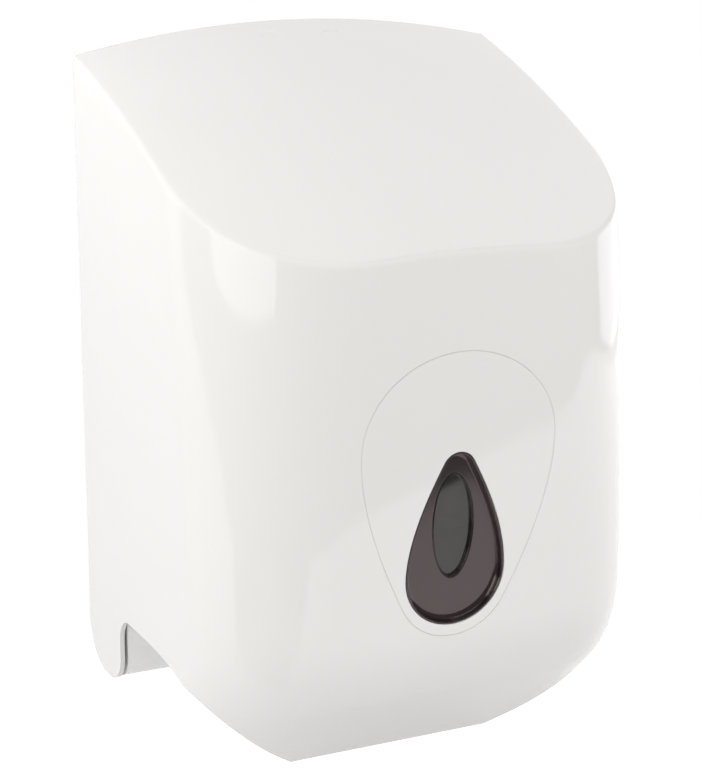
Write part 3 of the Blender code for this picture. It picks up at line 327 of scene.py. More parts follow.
def chin_centre():
    """Depth and height of the centre of the blend between the chin's slope and the front's arc."""
    front_centre = Vector((COVER_DEPTH - FRONT_RADIUS, FRONT_APEX_HEIGHT))
    slope = Vector((math.sin(CHIN_ANGLE), math.cos(CHIN_ANGLE)))
    start = Vector((CHIN_DEPTH - CHIN_BLEND * slope.y, CHIN_BLEND * slope.x))
    across = start - front_centre
    along = across.dot(slope)
    reach = FRONT_RADIUS - CHIN_BLEND
    return start + slope * (math.sqrt(along ** 2 - across.length_squared + reach ** 2) - along)


def chin_angles():
    """Angles below the horizontal at which the blend meets the front and the chin's slope."""
    centre = chin_centre()
    front_angle = math.atan2(FRONT_APEX_HEIGHT - centre.y, centre.x - COVER_DEPTH + FRONT_RADIUS)
    return front_angle, CHIN_ANGLE


def front_depth(height, inset=0.0):
    """Depth of the cover's front at a height, on a skin that lies inset inside the outer one."""
    centre = chin_centre()
    radius = CHIN_BLEND - inset
    front_angle, slope_angle = chin_angles()
    if height >= centre.y - radius * math.sin(front_angle):
        reach = FRONT_RADIUS - inset
        return COVER_DEPTH - FRONT_RADIUS + math.sqrt(reach ** 2 - (height - FRONT_APEX_HEIGHT) ** 2)
    if height <= centre.y - radius * math.sin(slope_angle):
        return CHIN_DEPTH + math.tan(CHIN_ANGLE) * height - inset / math.cos(CHIN_ANGLE)
    return centre.x + math.sqrt(radius ** 2 - (height - centre.y) ** 2)


def corner_radius(height):
    rise = max(0, height - CORNER_START_HEIGHT) / (CORNER_END_HEIGHT - CORNER_START_HEIGHT)
    return lerp(CHIN_CORNER, RIDGE_CORNER, rise ** CORNER_GROWTH_POWER)


def side_x(depth, height, inset=0.0):
    """Half width of the cover at a depth and height, where its side is straight."""
    lean = math.tan(SIDE_TAPER) * depth + math.tan(SIDE_DRAFT) * (height - PIVOT_HEIGHT)
    return COVER_WIDTH / 2 - lean - inset / math.cos(SIDE_TAPER)


def corner_centre(height, inset=0.0):
    """Half width and depth of the centre of the front corner's arc, in plan."""
    radius = corner_radius(height) - inset
    depth = front_depth(height, inset) - radius
    return side_x(depth, height, inset + radius), depth


def plan_point(station, height, inset):
    """Point and inward normal, in plan, of a station round the right half of the cover."""
    stretch, share = station
    radius = corner_radius(height) - inset
    centre_x, centre_depth = corner_centre(height, inset)
    if stretch == "side":
        at_depth = lerp(REAR_GAP, centre_depth + radius * math.sin(SIDE_TAPER), share)
        angle = SIDE_TAPER
        point = Vector((side_x(at_depth, height, inset), -at_depth))
    elif stretch == "corner":
        angle = lerp(SIDE_TAPER, math.pi / 2, share)
        point = Vector((centre_x + radius * math.cos(angle), -centre_depth - radius * math.sin(angle)))
    else:
        angle = math.pi / 2
        point = Vector((lerp(centre_x, 0, share), -centre_depth - radius))
    return point, Vector((-math.cos(angle), math.sin(angle)))


def half_stations():
    """Stations from the right rear edge to the middle of the front."""
    stations = [("side", k / SIDE_STEPS) for k in range(SIDE_STEPS)]
    stations += [("corner", k / CORNER_STEPS) for k in range(CORNER_STEPS)]
    return stations + [("front", k / FRONT_STEPS) for k in range(FRONT_STEPS + 1)]


def top_height(x, depth, inset=0.0):
    """Height of the top at a place, on a skin that lies inset under the outer one."""
    run = depth / TOP_RUN
    across = 2 * x / COVER_WIDTH
    drop = TOP_DROP * (TOP_STRAIGHT_SHARE * run + (1 - TOP_STRAIGHT_SHARE) * run ** 2)
    slope = TOP_DROP / TOP_RUN * (TOP_STRAIGHT_SHARE + 2 * (1 - TOP_STRAIGHT_SHARE) * run)
    tilt = TOP_CROWN * 4 * across / COVER_WIDTH
    steepness = math.sqrt(1 + slope ** 2 + tilt ** 2)
    return SIDE_HEIGHT - drop + TOP_CROWN * (1 - across ** 2) - inset * steepness


def ridge_height(station, inset):
    """Height at which the wall at a station meets the top."""
    height = SIDE_HEIGHT
    for _ in range(RIDGE_ROUNDS):
        point, _ = plan_point(station, height, inset)
        height = top_height(point.x, -point.y, inset)
    return height


def wall_heights(ridge, fillet, inset):
    """Heights of a column's points, from the chin's edge to the foot of the ridge fillet."""
    centre = chin_centre()
    front_angle, slope_angle = chin_angles()
    radius = CHIN_BLEND - inset
    heights = [0.0]
    for k in range(CHIN_STEPS + 1):
        heights.append(centre.y - radius * math.sin(lerp(slope_angle, front_angle, k / CHIN_STEPS)))
    start = heights[-1]
    return heights + [lerp(start, ridge - fillet, (k + 1) / WALL_STEPS) for k in range(WALL_STEPS)]


def column(station, inset):
    """Points up the wall at a station and over the ridge, ending on the top."""
    fillet = RIDGE_FILLET - inset
    ridge = ridge_height(station, inset)
    points = []
    for height in wall_heights(ridge, fillet, inset):
        point, _ = plan_point(station, height, inset)
        points.append(Vector((point.x, point.y, height)))
    point, inward = plan_point(station, ridge, inset)
    crease = Vector((point.x, point.y, ridge))
    landing = point + inward * fillet
    last = Vector((landing.x, landing.y, top_height(landing.x, -landing.y, inset)))
    first = points[-1]
    for k in range(1, FILLET_STEPS + 1):
        share = k / FILLET_STEPS
        points.append(first.lerp(crease, share).lerp(crease.lerp(last, share), share))
    return points


def skin(inset, points, faces):
    """Add one skin of the cover and return the loop of its open edge."""
    half = [column(station, inset) for station in half_stations()]
    columns = half + [[Vector((-p.x, p.y, p.z)) for p in c] for c in reversed(half[:-1])]
    grid = []
    for line in columns:
        grid.append(list(range(len(points), len(points) + len(line))))
        points.extend(line)
    for left, right in zip(grid, grid[1:]):
        for k in range(len(left) - 1):
            faces.append((left[k], right[k], right[k + 1], left[k + 1]))
    front_start = SIDE_STEPS + CORNER_STEPS
    ribs = []
    for k in range(front_start):
        start = grid[k][-1]
        end = grid[-1 - k][-1]
        rib = [start]
        for step in range(1, 2 * FRONT_STEPS):
            x = lerp(points[start].x, points[end].x, step / (2 * FRONT_STEPS))
            rib.append(len(points))
            points.append(Vector((x, points[start].y, top_height(x, -points[start].y, inset))))
        ribs.append(rib + [end])
    ribs.append([line[-1] for line in grid[front_start:len(grid) - front_start]])
    for rear, front in zip(ribs, ribs[1:]):
        for k in range(len(rear) - 1):
            faces.append((rear[k], rear[k + 1], front[k + 1], front[k]))
    bottom = [line[0] for line in grid]
    return bottom + grid[-1][1:] + ribs[0][-2:0:-1] + grid[0][:0:-1]


def ring_faces(first, second, count):
    """Faces between two rings of count points, given by the numbers of their first points."""
    pairs = [(k, (k + 1) % count) for k in range(count)]
    return [(first + k, first + after, second + after, second + k) for k, after in pairs]


def solid(name, points, faces):
    """A closed mesh object with its faces turned outwards."""
    mesh = bpy.data.meshes.new(name)
    mesh.from_pydata([tuple(p) for p in points], [], faces)
    shape = bmesh.new()
    shape.from_mesh(mesh)
    bmesh.ops.remove_doubles(shape, verts=shape.verts, dist=MERGE_DISTANCE)
    bmesh.ops.recalc_face_normals(shape, faces=shape.faces)
    shape.to_mesh(mesh)
    shape.free()
    body = bpy.data.objects.new(name, mesh)
    bpy.context.scene.collection.objects.link(body)
    return body


def combine(body, tool, operation):
    """Join, cut or intersect the body with a tool, which is used up."""
    step = body.modifiers.new(operation, 'BOOLEAN')
    step.operation = operation
    step.solver = 'EXACT'
    step.object = tool
    bpy.context.view_layer.update()
    result = bpy.data.meshes.new_from_object(body.evaluated_get(bpy.context.evaluated_depsgraph_get()))
    body.modifiers.clear()
    body.data = result
    bpy.data.objects.remove(tool)
    return body


def join(body, *tools):
    for tool in tools:
        combine(body, tool, 'UNION')
    return body


def cut(body, *tools):
    for tool in tools:
        combine(body, tool, 'DIFFERENCE')
    return body


def prism(outline, axis, low, high):
    """An outline in the plane across an axis, drawn out along that axis."""
    ends = []
    for level in (low, high):
        for a, b in outline:
            place = [a, b]
            place.insert(axis, level)
            ends.append(Vector(place))
    count = len(outline)
    faces = [tuple(range(count)), tuple(range(2 * count - 1, count - 1, -1))]
    return solid("prism", ends, faces + ring_faces(0, count, count))


def block(x_range, depth_range, height_range):
    """A box given by its ranges of x, depth from the wall and height."""
    (x0, x1), (d0, d1), (h0, h1) = x_range, depth_range, height_range
    return prism([(x0, -d0), (x1, -d0), (x1, -d1), (x0, -d1)], 2, h0, h1)


def arc(centre, radius, start, end, steps):
    """Points along an arc, both ends included; its radius may be a pair of half axes."""
    wide, tall = radius if isinstance(radius, tuple) else (radius, radius)
    angles = [lerp(start, end, k / steps) for k in range(steps + 1)]
    return [(centre[0] + wide * math.cos(a), centre[1] + tall * math.sin(a)) for a in angles]


def circle(centre, radius, steps):
    return arc(centre, radius, 0, 2 * math.pi, steps)[:-1]


def rod(axis, centre, radius, low, high, steps=SMALL_ROUND_STEPS):
    """A round rod along an axis, its centre given in the plane across it."""
    return prism(circle(centre, radius, steps), axis, low, high)


def pebble(grow, wide, tall, wide_height, small, small_height, flank_angle):
    """Right half of an egg or a drop, from the large end's middle line to the small end's.

    The large end is half an ellipse and the small end an arc; a curve that is tangent to both joins them.
    The outline is grown outwards by grow.
    """
    away = 1 if small_height < wide_height else -1
    points = arc((0, wide_height), (wide + grow, away * (tall + grow)), math.pi / 2, 0, OUTLINE_STEPS)
    small += grow
    start = Vector((wide + grow, wide_height))
    end = Vector((small * math.cos(flank_angle), small_height - away * small * math.sin(flank_angle)))
    handle = abs(start.y - end.y) / 3
    near = start - Vector((0, away * handle))
    far = end + Vector((math.sin(flank_angle), away * math.cos(flank_angle))) * handle
    for k in range(1, OUTLINE_STEPS):
        t = k / OUTLINE_STEPS
        low = start.lerp(near, t).lerp(near.lerp(far, t), t)
        high = near.lerp(far, t).lerp(far.lerp(end, t), t)
        points.append(tuple(low.lerp(high, t)))
    points += arc((0, small_height), (small, away * small), -flank_angle, -math.pi / 2, OUTLINE_STEPS)
    return points


def egg_share(share=1.0):
    """A share of the egg's half width, which just fits the flat between the front's corners."""
    return share * (corner_centre(EGG_WIDEST_HEIGHT)[0] - EGG_SIDE_MARGIN)


def egg(grow=0.0):
    return pebble(grow, egg_share(), EGG_TOP_RISE, EGG_WIDEST_HEIGHT,
                  egg_share(EGG_SMALL_SHARE), EGG_WIDEST_HEIGHT - EGG_SMALL_DROP, EGG_FLANK_ANGLE)


def drop_heights():
    """Heights of the drop's widest place and of the centre of its small end."""
    return EGG_WIDEST_HEIGHT - DROP_WIDEST_DROP, EGG_WIDEST_HEIGHT - DROP_SMALL_DROP


def drop(grow=0.0):
    wide = egg_share(DROP_WIDTH_SHARE)
    widest_height, small_height = drop_heights()
    return pebble(grow, wide, wide, widest_height,
                  egg_share(DROP_SMALL_SHARE), small_height, DROP_FLANK_ANGLE)


def oval(grow=0.0, turn=-1, steps=2 * OUTLINE_STEPS):
    """Right half of the sight glass's oval, from its top down or, with a turn of 1, from its bottom up."""
    half_axes = (egg_share(OVAL_WIDTH_SHARE) + grow, OVAL_HALF_HEIGHT + grow)
    middle = (0, EGG_WIDEST_HEIGHT - OVAL_DROP)
    return arc(middle, half_axes, -turn * math.pi / 2, turn * math.pi / 2, steps)


def front_point(x, height, inset):
    return Vector((x, -front_depth(height, inset), height))


def plug(half_outline, outer_inset, inner_inset):
    """A slab of the front between two insets, bounded by an outline given by its right half."""
    points = []
    for inset in (outer_inset, inner_inset):
        for side in (1, -1):
            for x, height in half_outline:
                points.append(front_point(side * x, height, inset))
    count = len(half_outline)
    faces = []
    for k in range(count - 1):
        for layer in (0, 2 * count):
            faces.append((layer + k, layer + k + 1, layer + count + k + 1, layer + count + k))
        for side in (0, count):
            near = side + k
            faces.append((near, near + 1, 2 * count + near + 1, 2 * count + near))
    return solid("plug", points, faces)


def lower_edge_cutter(side):
    """What is cut away below the lower edge where it rises from the chin, seen from the front."""
    start, end = LOWER_EDGE_START_ANGLE, LOWER_EDGE_END_ANGLE
    centre_x = CHIN_HALF_WIDTH - LOWER_EDGE_RADIUS * math.sin(start)
    centre = (centre_x, LOWER_EDGE_RADIUS * math.cos(start))
    outline = [(CHIN_HALF_WIDTH - OVERRUN / math.tan(start), -OVERRUN)]
    outline += arc(centre, LOWER_EDGE_RADIUS, start - math.pi / 2, end - math.pi / 2, OUTLINE_STEPS)
    outline += [(COVER_WIDTH, outline[-1][1]), (COVER_WIDTH, -OVERRUN)]
    mirrored = [(side * x, height) for x, height in outline]
    return prism(mirrored, 1, -COVER_DEPTH - OVERRUN, -FOOT_REACH - FOOT_FILLET)


def foot_outline():
    """The round end of a foot seen from the side, from its heel at the wall to the front of its toe."""
    heel = (-PIVOT_DEPTH, PIVOT_HEIGHT)
    toe = (TOE_RADIUS - FOOT_REACH, PIVOT_HEIGHT - FOOT_RADIUS + TOE_RADIUS)
    points = arc(heel, FOOT_RADIUS, -FOOT_REAR_ANGLE, -math.pi / 2, FOOT_STEPS // 2)
    return points + arc(toe, TOE_RADIUS, -math.pi / 2, -math.pi, FOOT_STEPS // 2)


def side_edge_cutter(side):
    """What is cut away round a foot and below the side's edge, seen from the side."""
    foot = foot_outline()
    fillet_centre = (-FOOT_REACH - FOOT_FILLET, SIDE_EDGE_HEIGHT - FOOT_FILLET)
    edge_centre = (-SIDE_EDGE_LEVEL_DEPTH, SIDE_EDGE_HEIGHT - SIDE_EDGE_RADIUS)
    turn = math.asin((SIDE_EDGE_END_DEPTH - SIDE_EDGE_LEVEL_DEPTH) / SIDE_EDGE_RADIUS)
    outline = [(OVERRUN, -OVERRUN), (OVERRUN, foot[0][1])] + foot
    outline += arc(fillet_centre, FOOT_FILLET, 0, math.pi / 2, SLOT_STEPS)
    outline += arc(edge_centre, SIDE_EDGE_RADIUS, math.pi / 2, math.pi / 2 + turn, SLOT_STEPS)
    outline += [(-SIDE_EDGE_END_DEPTH, -OVERRUN)]
    inner = side_x(SIDE_EDGE_END_DEPTH, SIDE_EDGE_HEIGHT, COVER_WALL)
    low, high = sorted((side * inner, side * COVER_WIDTH))
    return prism(outline, 0, low, high)


def catch_height():
    """Height of the lower edge of the catch, a rib under the cover's top."""
    return top_height(CATCH_HALF_WIDTH, CATCH_DEPTH, COVER_WALL) - CATCH_DROP


def key_hole_outline(x, inset):
    half = KEY_HOLE_HALF_LENGTH - KEY_HOLE_HALF_WIDTH
    radius = KEY_HOLE_HALF_WIDTH - inset
    outline = arc((x + half, -KEY_HOLE_DEPTH), radius, -math.pi / 2, math.pi / 2, SLOT_STEPS)
    return outline + arc((x - half, -KEY_HOLE_DEPTH), radius, math.pi / 2, 3 * math.pi / 2, SLOT_STEPS)


def key_hole_cutter(x):
    """A key hole, which narrows from the top's surface down to its throat."""
    surface = top_height(x, KEY_HOLE_DEPTH)
    wide = KEY_LEAD_INSET * OVERRUN / KEY_LEAD_DEPTH
    mouth = (-wide, surface + OVERRUN)
    throat = [(KEY_LEAD_INSET, height) for height in (surface - KEY_LEAD_DEPTH, catch_height())]
    points = []
    for inset, height in (mouth, *throat):
        points += [Vector((a, b, height)) for a, b in key_hole_outline(x, inset)]
    count = len(points) // 3
    faces = [tuple(range(count)), tuple(range(2 * count, 3 * count))]
    for first in (0, count):
        faces += ring_faces(first, first + count, count)
    return solid("key_hole", points, faces)


def foot_boss_tip():
    return side_x(PIVOT_DEPTH, PIVOT_HEIGHT, COVER_WALL) - FOOT_BOSS_LENGTH


def foot_bore_end():
    return side_x(PIVOT_DEPTH + FOOT_BOSS_RADIUS, PIVOT_HEIGHT) - FOOT_BORE_SKIN


def front_cover():
    points = []
    faces = []
    outer = skin(0.0, points, faces)
    inner = skin(COVER_WALL, points, faces)
    count = len(outer)
    for k in range(count):
        after = (k + 1) % count
        faces.append((outer[k], outer[after], inner[after], inner[k]))
    body = solid("cover_shell", points, faces)
    for side in (1, -1):
        cut(body, side_edge_cutter(side), lower_edge_cutter(side))
    cut(body, plug(egg(), -OVERRUN, PANEL_SEAT_DEPTH))
    cut(body, plug(egg(-PANEL_LEDGE), -OVERRUN, COVER_WALL + OVERRUN))
    catch_depths = (CATCH_DEPTH, CATCH_DEPTH + CATCH_THICKNESS)
    catch_rise = top_height(CATCH_HALF_WIDTH, catch_depths[1], COVER_WALL / 2)
    join(body, block((-CATCH_HALF_WIDTH, CATCH_HALF_WIDTH), catch_depths, (catch_height(), catch_rise)))
    cut(body, key_hole_cutter(KEY_HOLE_X), key_hole_cutter(-KEY_HOLE_X))
    centre = (-PIVOT_DEPTH, PIVOT_HEIGHT)
    for side in (1, -1):
        root = foot_boss_tip() + FOOT_BOSS_LENGTH + COVER_WALL / 2
        low, high = sorted((side * foot_boss_tip(), side * root))
        join(body, rod(0, centre, FOOT_BOSS_RADIUS, low, high, ROUND_STEPS // 2))
        low, high = sorted((side * (foot_boss_tip() - OVERRUN), side * foot_bore_end()))
        cut(body, rod(0, centre, PIN_RADIUS + FIT_GAP, low, high))
    return body


def window_screw_places():
    upper = (egg_share(WINDOW_SCREW_UPPER_SHARE), EGG_WIDEST_HEIGHT + WINDOW_SCREW_UPPER_RISE)
    lower = (egg_share(WINDOW_SCREW_LOWER_SHARE), EGG_WIDEST_HEIGHT - WINDOW_SCREW_LOWER_DROP)
    return [(side * x, height) for side in (1, -1) for x, height in (upper, lower)]


def retainer_back():
    return COVER_WALL + FIT_GAP + RETAINER_THICKNESS


def lens_back():
    return LENS_DISH_DEPTH + LENS_WALL


def pocket_floor():
    return lens_back() + FIT_GAP


def peg_heights():
    widest_height, small_height = drop_heights()
    top = small_height + egg_share(DROP_SMALL_SHARE) - PEG_INSET
    return top, widest_height - egg_share(DROP_WIDTH_SHARE) + PEG_INSET


def window_panel():
    body = plug(egg(-SEAM_GAP), 0.0, PANEL_THICKNESS)
    body.name = "egg_panel"
    join(body, plug(egg(-PANEL_LEDGE - FIT_GAP), PANEL_THICKNESS / 2, COVER_WALL))
    join(body, plug(drop(POCKET_WALL), PANEL_THICKNESS / 2, pocket_floor() + POCKET_FLOOR))
    cut(body, plug(drop(FIT_GAP), -OVERRUN, pocket_floor()))
    cut(body, plug(oval(FIT_GAP), -OVERRUN, pocket_floor() + POCKET_FLOOR + OVERRUN))
    for height in peg_heights():
        start = front_point(0, height, 0).y
        end = front_point(0, height, pocket_floor() + POCKET_FLOOR + OVERRUN).y
        cut(body, rod(1, (0, height), PEG_RADIUS + FIT_GAP, start, end))
    for x, height in window_screw_places():
        root = front_point(x, height, PANEL_THICKNESS / 2).y
        tip = front_point(x, height, retainer_back() - FIT_GAP).y
        join(body, rod(1, (x, height), WINDOW_BOSS_RADIUS, root, tip))
        floor = front_point(x, height, PANEL_THICKNESS).y
        cut(body, rod(1, (x, height), SCREW_SHANK_RADIUS + FIT_GAP, floor, tip + OVERRUN))
    return body


# The window lens

def loop(half, inset, lean=0.0):
    """A closed loop on the front, given by its right half; its inset may lean about the dish's middle."""
    pivot = EGG_WIDEST_HEIGHT - DISH_PIVOT_DROP
    right = [front_point(x, height, inset + lean * (pivot - height)) for x, height in half]
    return right + [Vector((-p.x, p.y, p.z)) for p in reversed(right[1:-1])]


def loft(name, loops):
    """Join a row of equal loops into a closed solid, its first and last loop closed across by strips."""
    points = [point for ring in loops for point in ring]
    count = len(loops[0])
    faces = []
    for first in range(0, (len(loops) - 1) * count, count):
        faces += ring_faces(first, first + count, count)
    for first in (0, (len(loops) - 1) * count):
        for k in range(count // 2):
            strip = (k, k + 1, count - k - 1, (count - k) % count)
            faces.append(tuple(dict.fromkeys(first + index for index in strip)))
    return solid(name, points, faces)


def rising_oval(grow=0.0):
    """The oval from its lower end up, with as many points as a pebble."""
    return oval(grow, 1, 3 * OUTLINE_STEPS)


def tray_profile(fillet_spread):
    """Growth and inset along the lens's front, from its edge over the rim down to the dish's floor."""
    profile = []
    for k in range(LENS_ROUND_STEPS + 1):
        angle = math.pi / 2 * k / LENS_ROUND_STEPS
        profile.append((-LENS_EDGE * (1 - math.cos(angle)), LENS_EDGE * (1 - math.sin(angle))))
    for k in range(LENS_ROUND_STEPS + 1):
        angle = math.pi / 2 * k / LENS_ROUND_STEPS
        profile.append((-LENS_RIM - LENS_EDGE * math.sin(angle), LENS_EDGE * (1 - math.cos(angle))))
    start = -LENS_RIM - LENS_EDGE - LENS_DRAFT
    for k in range(2 * LENS_ROUND_STEPS + 1):
        angle = math.pi / 4 * k / LENS_ROUND_STEPS
        profile.append((start - fillet_spread * (1 - math.cos(angle)),
                        LENS_DISH_DEPTH - LENS_FILLET * (1 - math.sin(angle))))
    return profile


def dish_outline(upper_grow, lower_grow):
    """The window's right half, whose growth passes from one at the dish's top to another at its bottom."""
    half = []
    for upper, lower in zip(drop(upper_grow), drop(lower_grow)):
        share = (EGG_WIDEST_HEIGHT - DISH_TOP_DROP - upper[1]) / (DISH_BOTTOM_DROP - DISH_TOP_DROP)
        half.append(between(upper, lower, min(max(share, 0.0), 1.0)))
    return half


def lens_tray():
    """The smoked window: a dish with a rolled rim, and a groove round the step down to the sight glass."""
    boss = lens_back() + POCKET_FLOOR
    loops = [loop(rising_oval(), boss), loop(rising_oval(), lens_back()), loop(drop(), lens_back())]
    profiles = zip(tray_profile(LENS_FILLET_UPPER_SPREAD), tray_profile(LENS_FILLET_LOWER_SPREAD))
    for (upper_grow, inset), (lower_grow, _) in profiles:
        floor = dish_outline(upper_grow, lower_grow)
        loops.append(loop(floor, inset, DISH_LEAN * inset / LENS_DISH_DEPTH))
    edge = rising_oval(-LENS_WALL + OVAL_EDGE + GROOVE_WIDTH)
    for k in range(1, DISH_STEPS + 1):
        share = k / DISH_STEPS
        ring = [between(a, b, share) for a, b in zip(floor, edge)]
        loops.append(loop(ring, LENS_DISH_DEPTH, DISH_LEAN))
    for k in range(1, GROOVE_STEPS + 1):
        share = k / GROOVE_STEPS
        dip = GROOVE_DEPTH * math.sin(math.pi * share)
        ring = rising_oval(-LENS_WALL + OVAL_EDGE + GROOVE_WIDTH * (1 - share))
        loops.append(loop(ring, LENS_DISH_DEPTH + dip, DISH_LEAN))
    well = LENS_DISH_DEPTH + POCKET_FLOOR
    steps = ((0, LENS_DISH_DEPTH + OVAL_EDGE), (1, well - OVAL_EDGE), (2, well))
    for count, inset in steps:
        loops.append(loop(rising_oval(-LENS_WALL - count * OVAL_EDGE), inset, DISH_LEAN))
    return loft("lens_tray", loops)


def glaze(tray, index):
    """Give the floor of the tray's oval the material of that index."""
    half_width = egg_share(OVAL_WIDTH_SHARE) - LENS_WALL
    half_height = OVAL_HALF_HEIGHT - LENS_WALL
    middle = EGG_WIDEST_HEIGHT - OVAL_DROP - ORIGIN_HEIGHT
    for face in tray.data.polygons:
        off = Vector((face.center.x / half_width, (face.center.z - middle) / half_height))
        if off.length < 1:
            face.material_index = index


# Small hardware

def lathe(profile, steps):
    """A turned solid about +Z whose profile of radius and height starts and ends on the axis."""
    points = [Vector((0, 0, profile[0][1])), Vector((0, 0, profile[-1][1]))]
    rings = []
    for radius, height in profile[1:-1]:
        rings.append(list(range(len(points), len(points) + steps)))
        points += [Vector((x, y, height)) for x, y in circle((0, 0), radius, steps)]
    faces = []
    for k in range(steps):
        after = (k + 1) % steps
        faces.append((0, rings[0][k], rings[0][after]))
        faces.append((1, rings[-1][after], rings[-1][k]))
        for upper, lower in zip(rings, rings[1:]):
            faces.append((upper[k], lower[k], lower[after], upper[after]))
    return solid("lathe", points, faces)


def pan_screw(name, direction):
    """A pan-head screw with a cross recess and a rolled thread, where the solid of that name is."""
    low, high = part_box(name)
    middle = (low + high) / 2
    along = Vector(direction)
    half_length = abs((high - low).dot(along)) / 2
    top = middle - along * half_length
    profile = [(0.0, 0.0)]
    for k in range(1, HEAD_STEPS + 1):
        angle = math.pi / 2 * k / HEAD_STEPS
        profile.append((SCREW_HEAD_RADIUS * math.sin(angle), -SCREW_HEAD_LENGTH * (1 - math.cos(angle))))
    neck = -SCREW_HEAD_LENGTH
    profile.append((SCREW_SHANK_RADIUS, neck))
    height = neck - THREAD_PITCH / 2
    end = -2 * half_length + SCREW_SHANK_RADIUS
    while height > end + THREAD_PITCH:
        profile.append((SCREW_SHANK_RADIUS, height))
        profile.append((SCREW_SHANK_RADIUS - THREAD_DEPTH, height - THREAD_PITCH / 2))
        height -= THREAD_PITCH
    profile += [(SCREW_SHANK_RADIUS, height), (0.0, -2 * half_length)]
    body = lathe(profile, SCREW_STEPS)
    body.name = name + "_fine"
    for turn in (0, 1):
        arm = (RECESS_HALF_LENGTH, RECESS_HALF_WIDTH)
        x, y = arm if turn == 0 else arm[::-1]
        outline = [(-x, -y), (x, -y), (x, y), (-x, y)]
        cut(body, prism(outline, 2, -RECESS_DEPTH, OVERRUN))
    spin = Vector((0, 0, -1)).rotation_difference(along)
    body.data.transform(spin.to_matrix().to_4x4())
    for vertex in body.data.vertices:
        vertex.co += top + Vector((0, 0, ORIGIN_HEIGHT))
    return body


def spring_coil(name):
    """A compression spring of round wire whose end turns lie closed, where the solid of that name is."""
    low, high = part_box(name)
    centre = (low + high) / 2
    foot = low.z + SPRING_WIRE_RADIUS
    rise = high.z - low.z - 2 * SPRING_WIRE_RADIUS
    count = COIL_STEPS * SPRING_TURNS
    line = []
    for k in range(count + 1):
        share = k / count
        angle = 2 * math.pi * SPRING_TURNS * share
        wound = share - COIL_CLOSING_SHARE * math.sin(2 * math.pi * share)
        x = centre.x + SPRING_RADIUS * math.cos(angle)
        y = centre.y + SPRING_RADIUS * math.sin(angle)
        line.append(Vector((x, y, foot + rise * wound + ORIGIN_HEIGHT)))
    points = []
    for k, point in enumerate(line):
        ahead = (line[min(k + 1, count)] - line[max(k - 1, 0)]).normalized()
        out = Vector((point.x - centre.x, point.y - centre.y, 0)).normalized()
        up = ahead.cross(out).normalized()
        for a, b in circle((0, 0), SPRING_WIRE_RADIUS, WIRE_STEPS):
            points.append(point + out * a + up * b)
    total = len(points)
    faces = [tuple(range(WIRE_STEPS)), tuple(range(total - 1, total - WIRE_STEPS - 1, -1))]
    for k in range(count):
        faces += ring_faces(k * WIRE_STEPS, (k + 1) * WIRE_STEPS, WIRE_STEPS)
    return solid(name + "_fine", points, faces)


# Materials

def graph(name):
    made = bpy.data.materials.new(name)
    made.use_nodes = True
    tree = made.node_tree
    return made, tree, tree.nodes["Principled BSDF"]


def add(tree, kind, inputs=(), **settings):
    """A new node with its settings, its inputs given as pairs of a name and a value or a socket."""
    made = tree.nodes.new(kind)
    for key, value in settings.items():
        setattr(made, key, value)
    for key, value in inputs:
        if isinstance(value, bpy.types.NodeSocket):
            tree.links.new(value, made.inputs[key])
        else:
            made.inputs[key].default_value = value
    return made


def noise(tree, scale, detail=2.0):
    """A noise fixed to the piece itself, its scale in cycles a metre."""
    place = add(tree, "ShaderNodeTexCoord").outputs["Object"]
    return add(tree, "ShaderNodeTexNoise", [("Vector", place), ("Scale", scale), ("Detail", detail)])


def spread(tree, value, low, high, start=NOISE_LOW, end=NOISE_HIGH):
    """Map a range of values, if not given the middle range of a noise, on to another."""
    inputs = [("Value", value), ("From Min", start), ("From Max", end), ("To Min", low), ("To Max", high)]
    return add(tree, "ShaderNodeMapRange", inputs).outputs["Result"]


def tint(tree, value, first, second):
    """A colour between two, by a value from 0 to 1."""
    ramp = add(tree, "ShaderNodeValToRGB", [("Fac", value)])
    ramp.color_ramp.elements[0].color = (*first, 1)
    ramp.color_ramp.elements[1].color = (*second, 1)
    return ramp.outputs["Color"]


def surface(tree, shader, grain_scale, grain_height, edge_radius):
    """Rounded edges and a fine moulded grain on the shader's normal."""
    edges = add(tree, "ShaderNodeBevel", [("Radius", edge_radius)], samples=ROUNDING_SAMPLES)
    grain = noise(tree, grain_scale)
    inputs = [("Strength", 1.0), ("Distance", grain_height),
              ("Height", grain.outputs["Fac"]), ("Normal", edges.outputs["Normal"])]
    bump = add(tree, "ShaderNodeBump", inputs)
    tree.links.new(bump.outputs["Normal"], shader.inputs["Normal"])


def moulded(name, colour, shade, roughness, grain_height):
    """Moulded plastic: a slow drift of colour, faint handling smudges in the gloss and a fine grain."""
    made, tree, shader = graph(name)
    drift = noise(tree, DRIFT_SCALE)
    tree.links.new(tint(tree, drift.outputs["Fac"], shade, colour), shader.inputs["Base Color"])
    smudges = noise(tree, SMUDGE_SCALE, SMUDGE_DETAIL)
    tree.links.new(spread(tree, smudges.outputs["Fac"], *roughness), shader.inputs["Roughness"])
    shader.inputs["IOR"].default_value = PLASTIC_IOR
    surface(tree, shader, GRAIN_SCALE, grain_height, EDGE_ROUNDING)
    return made


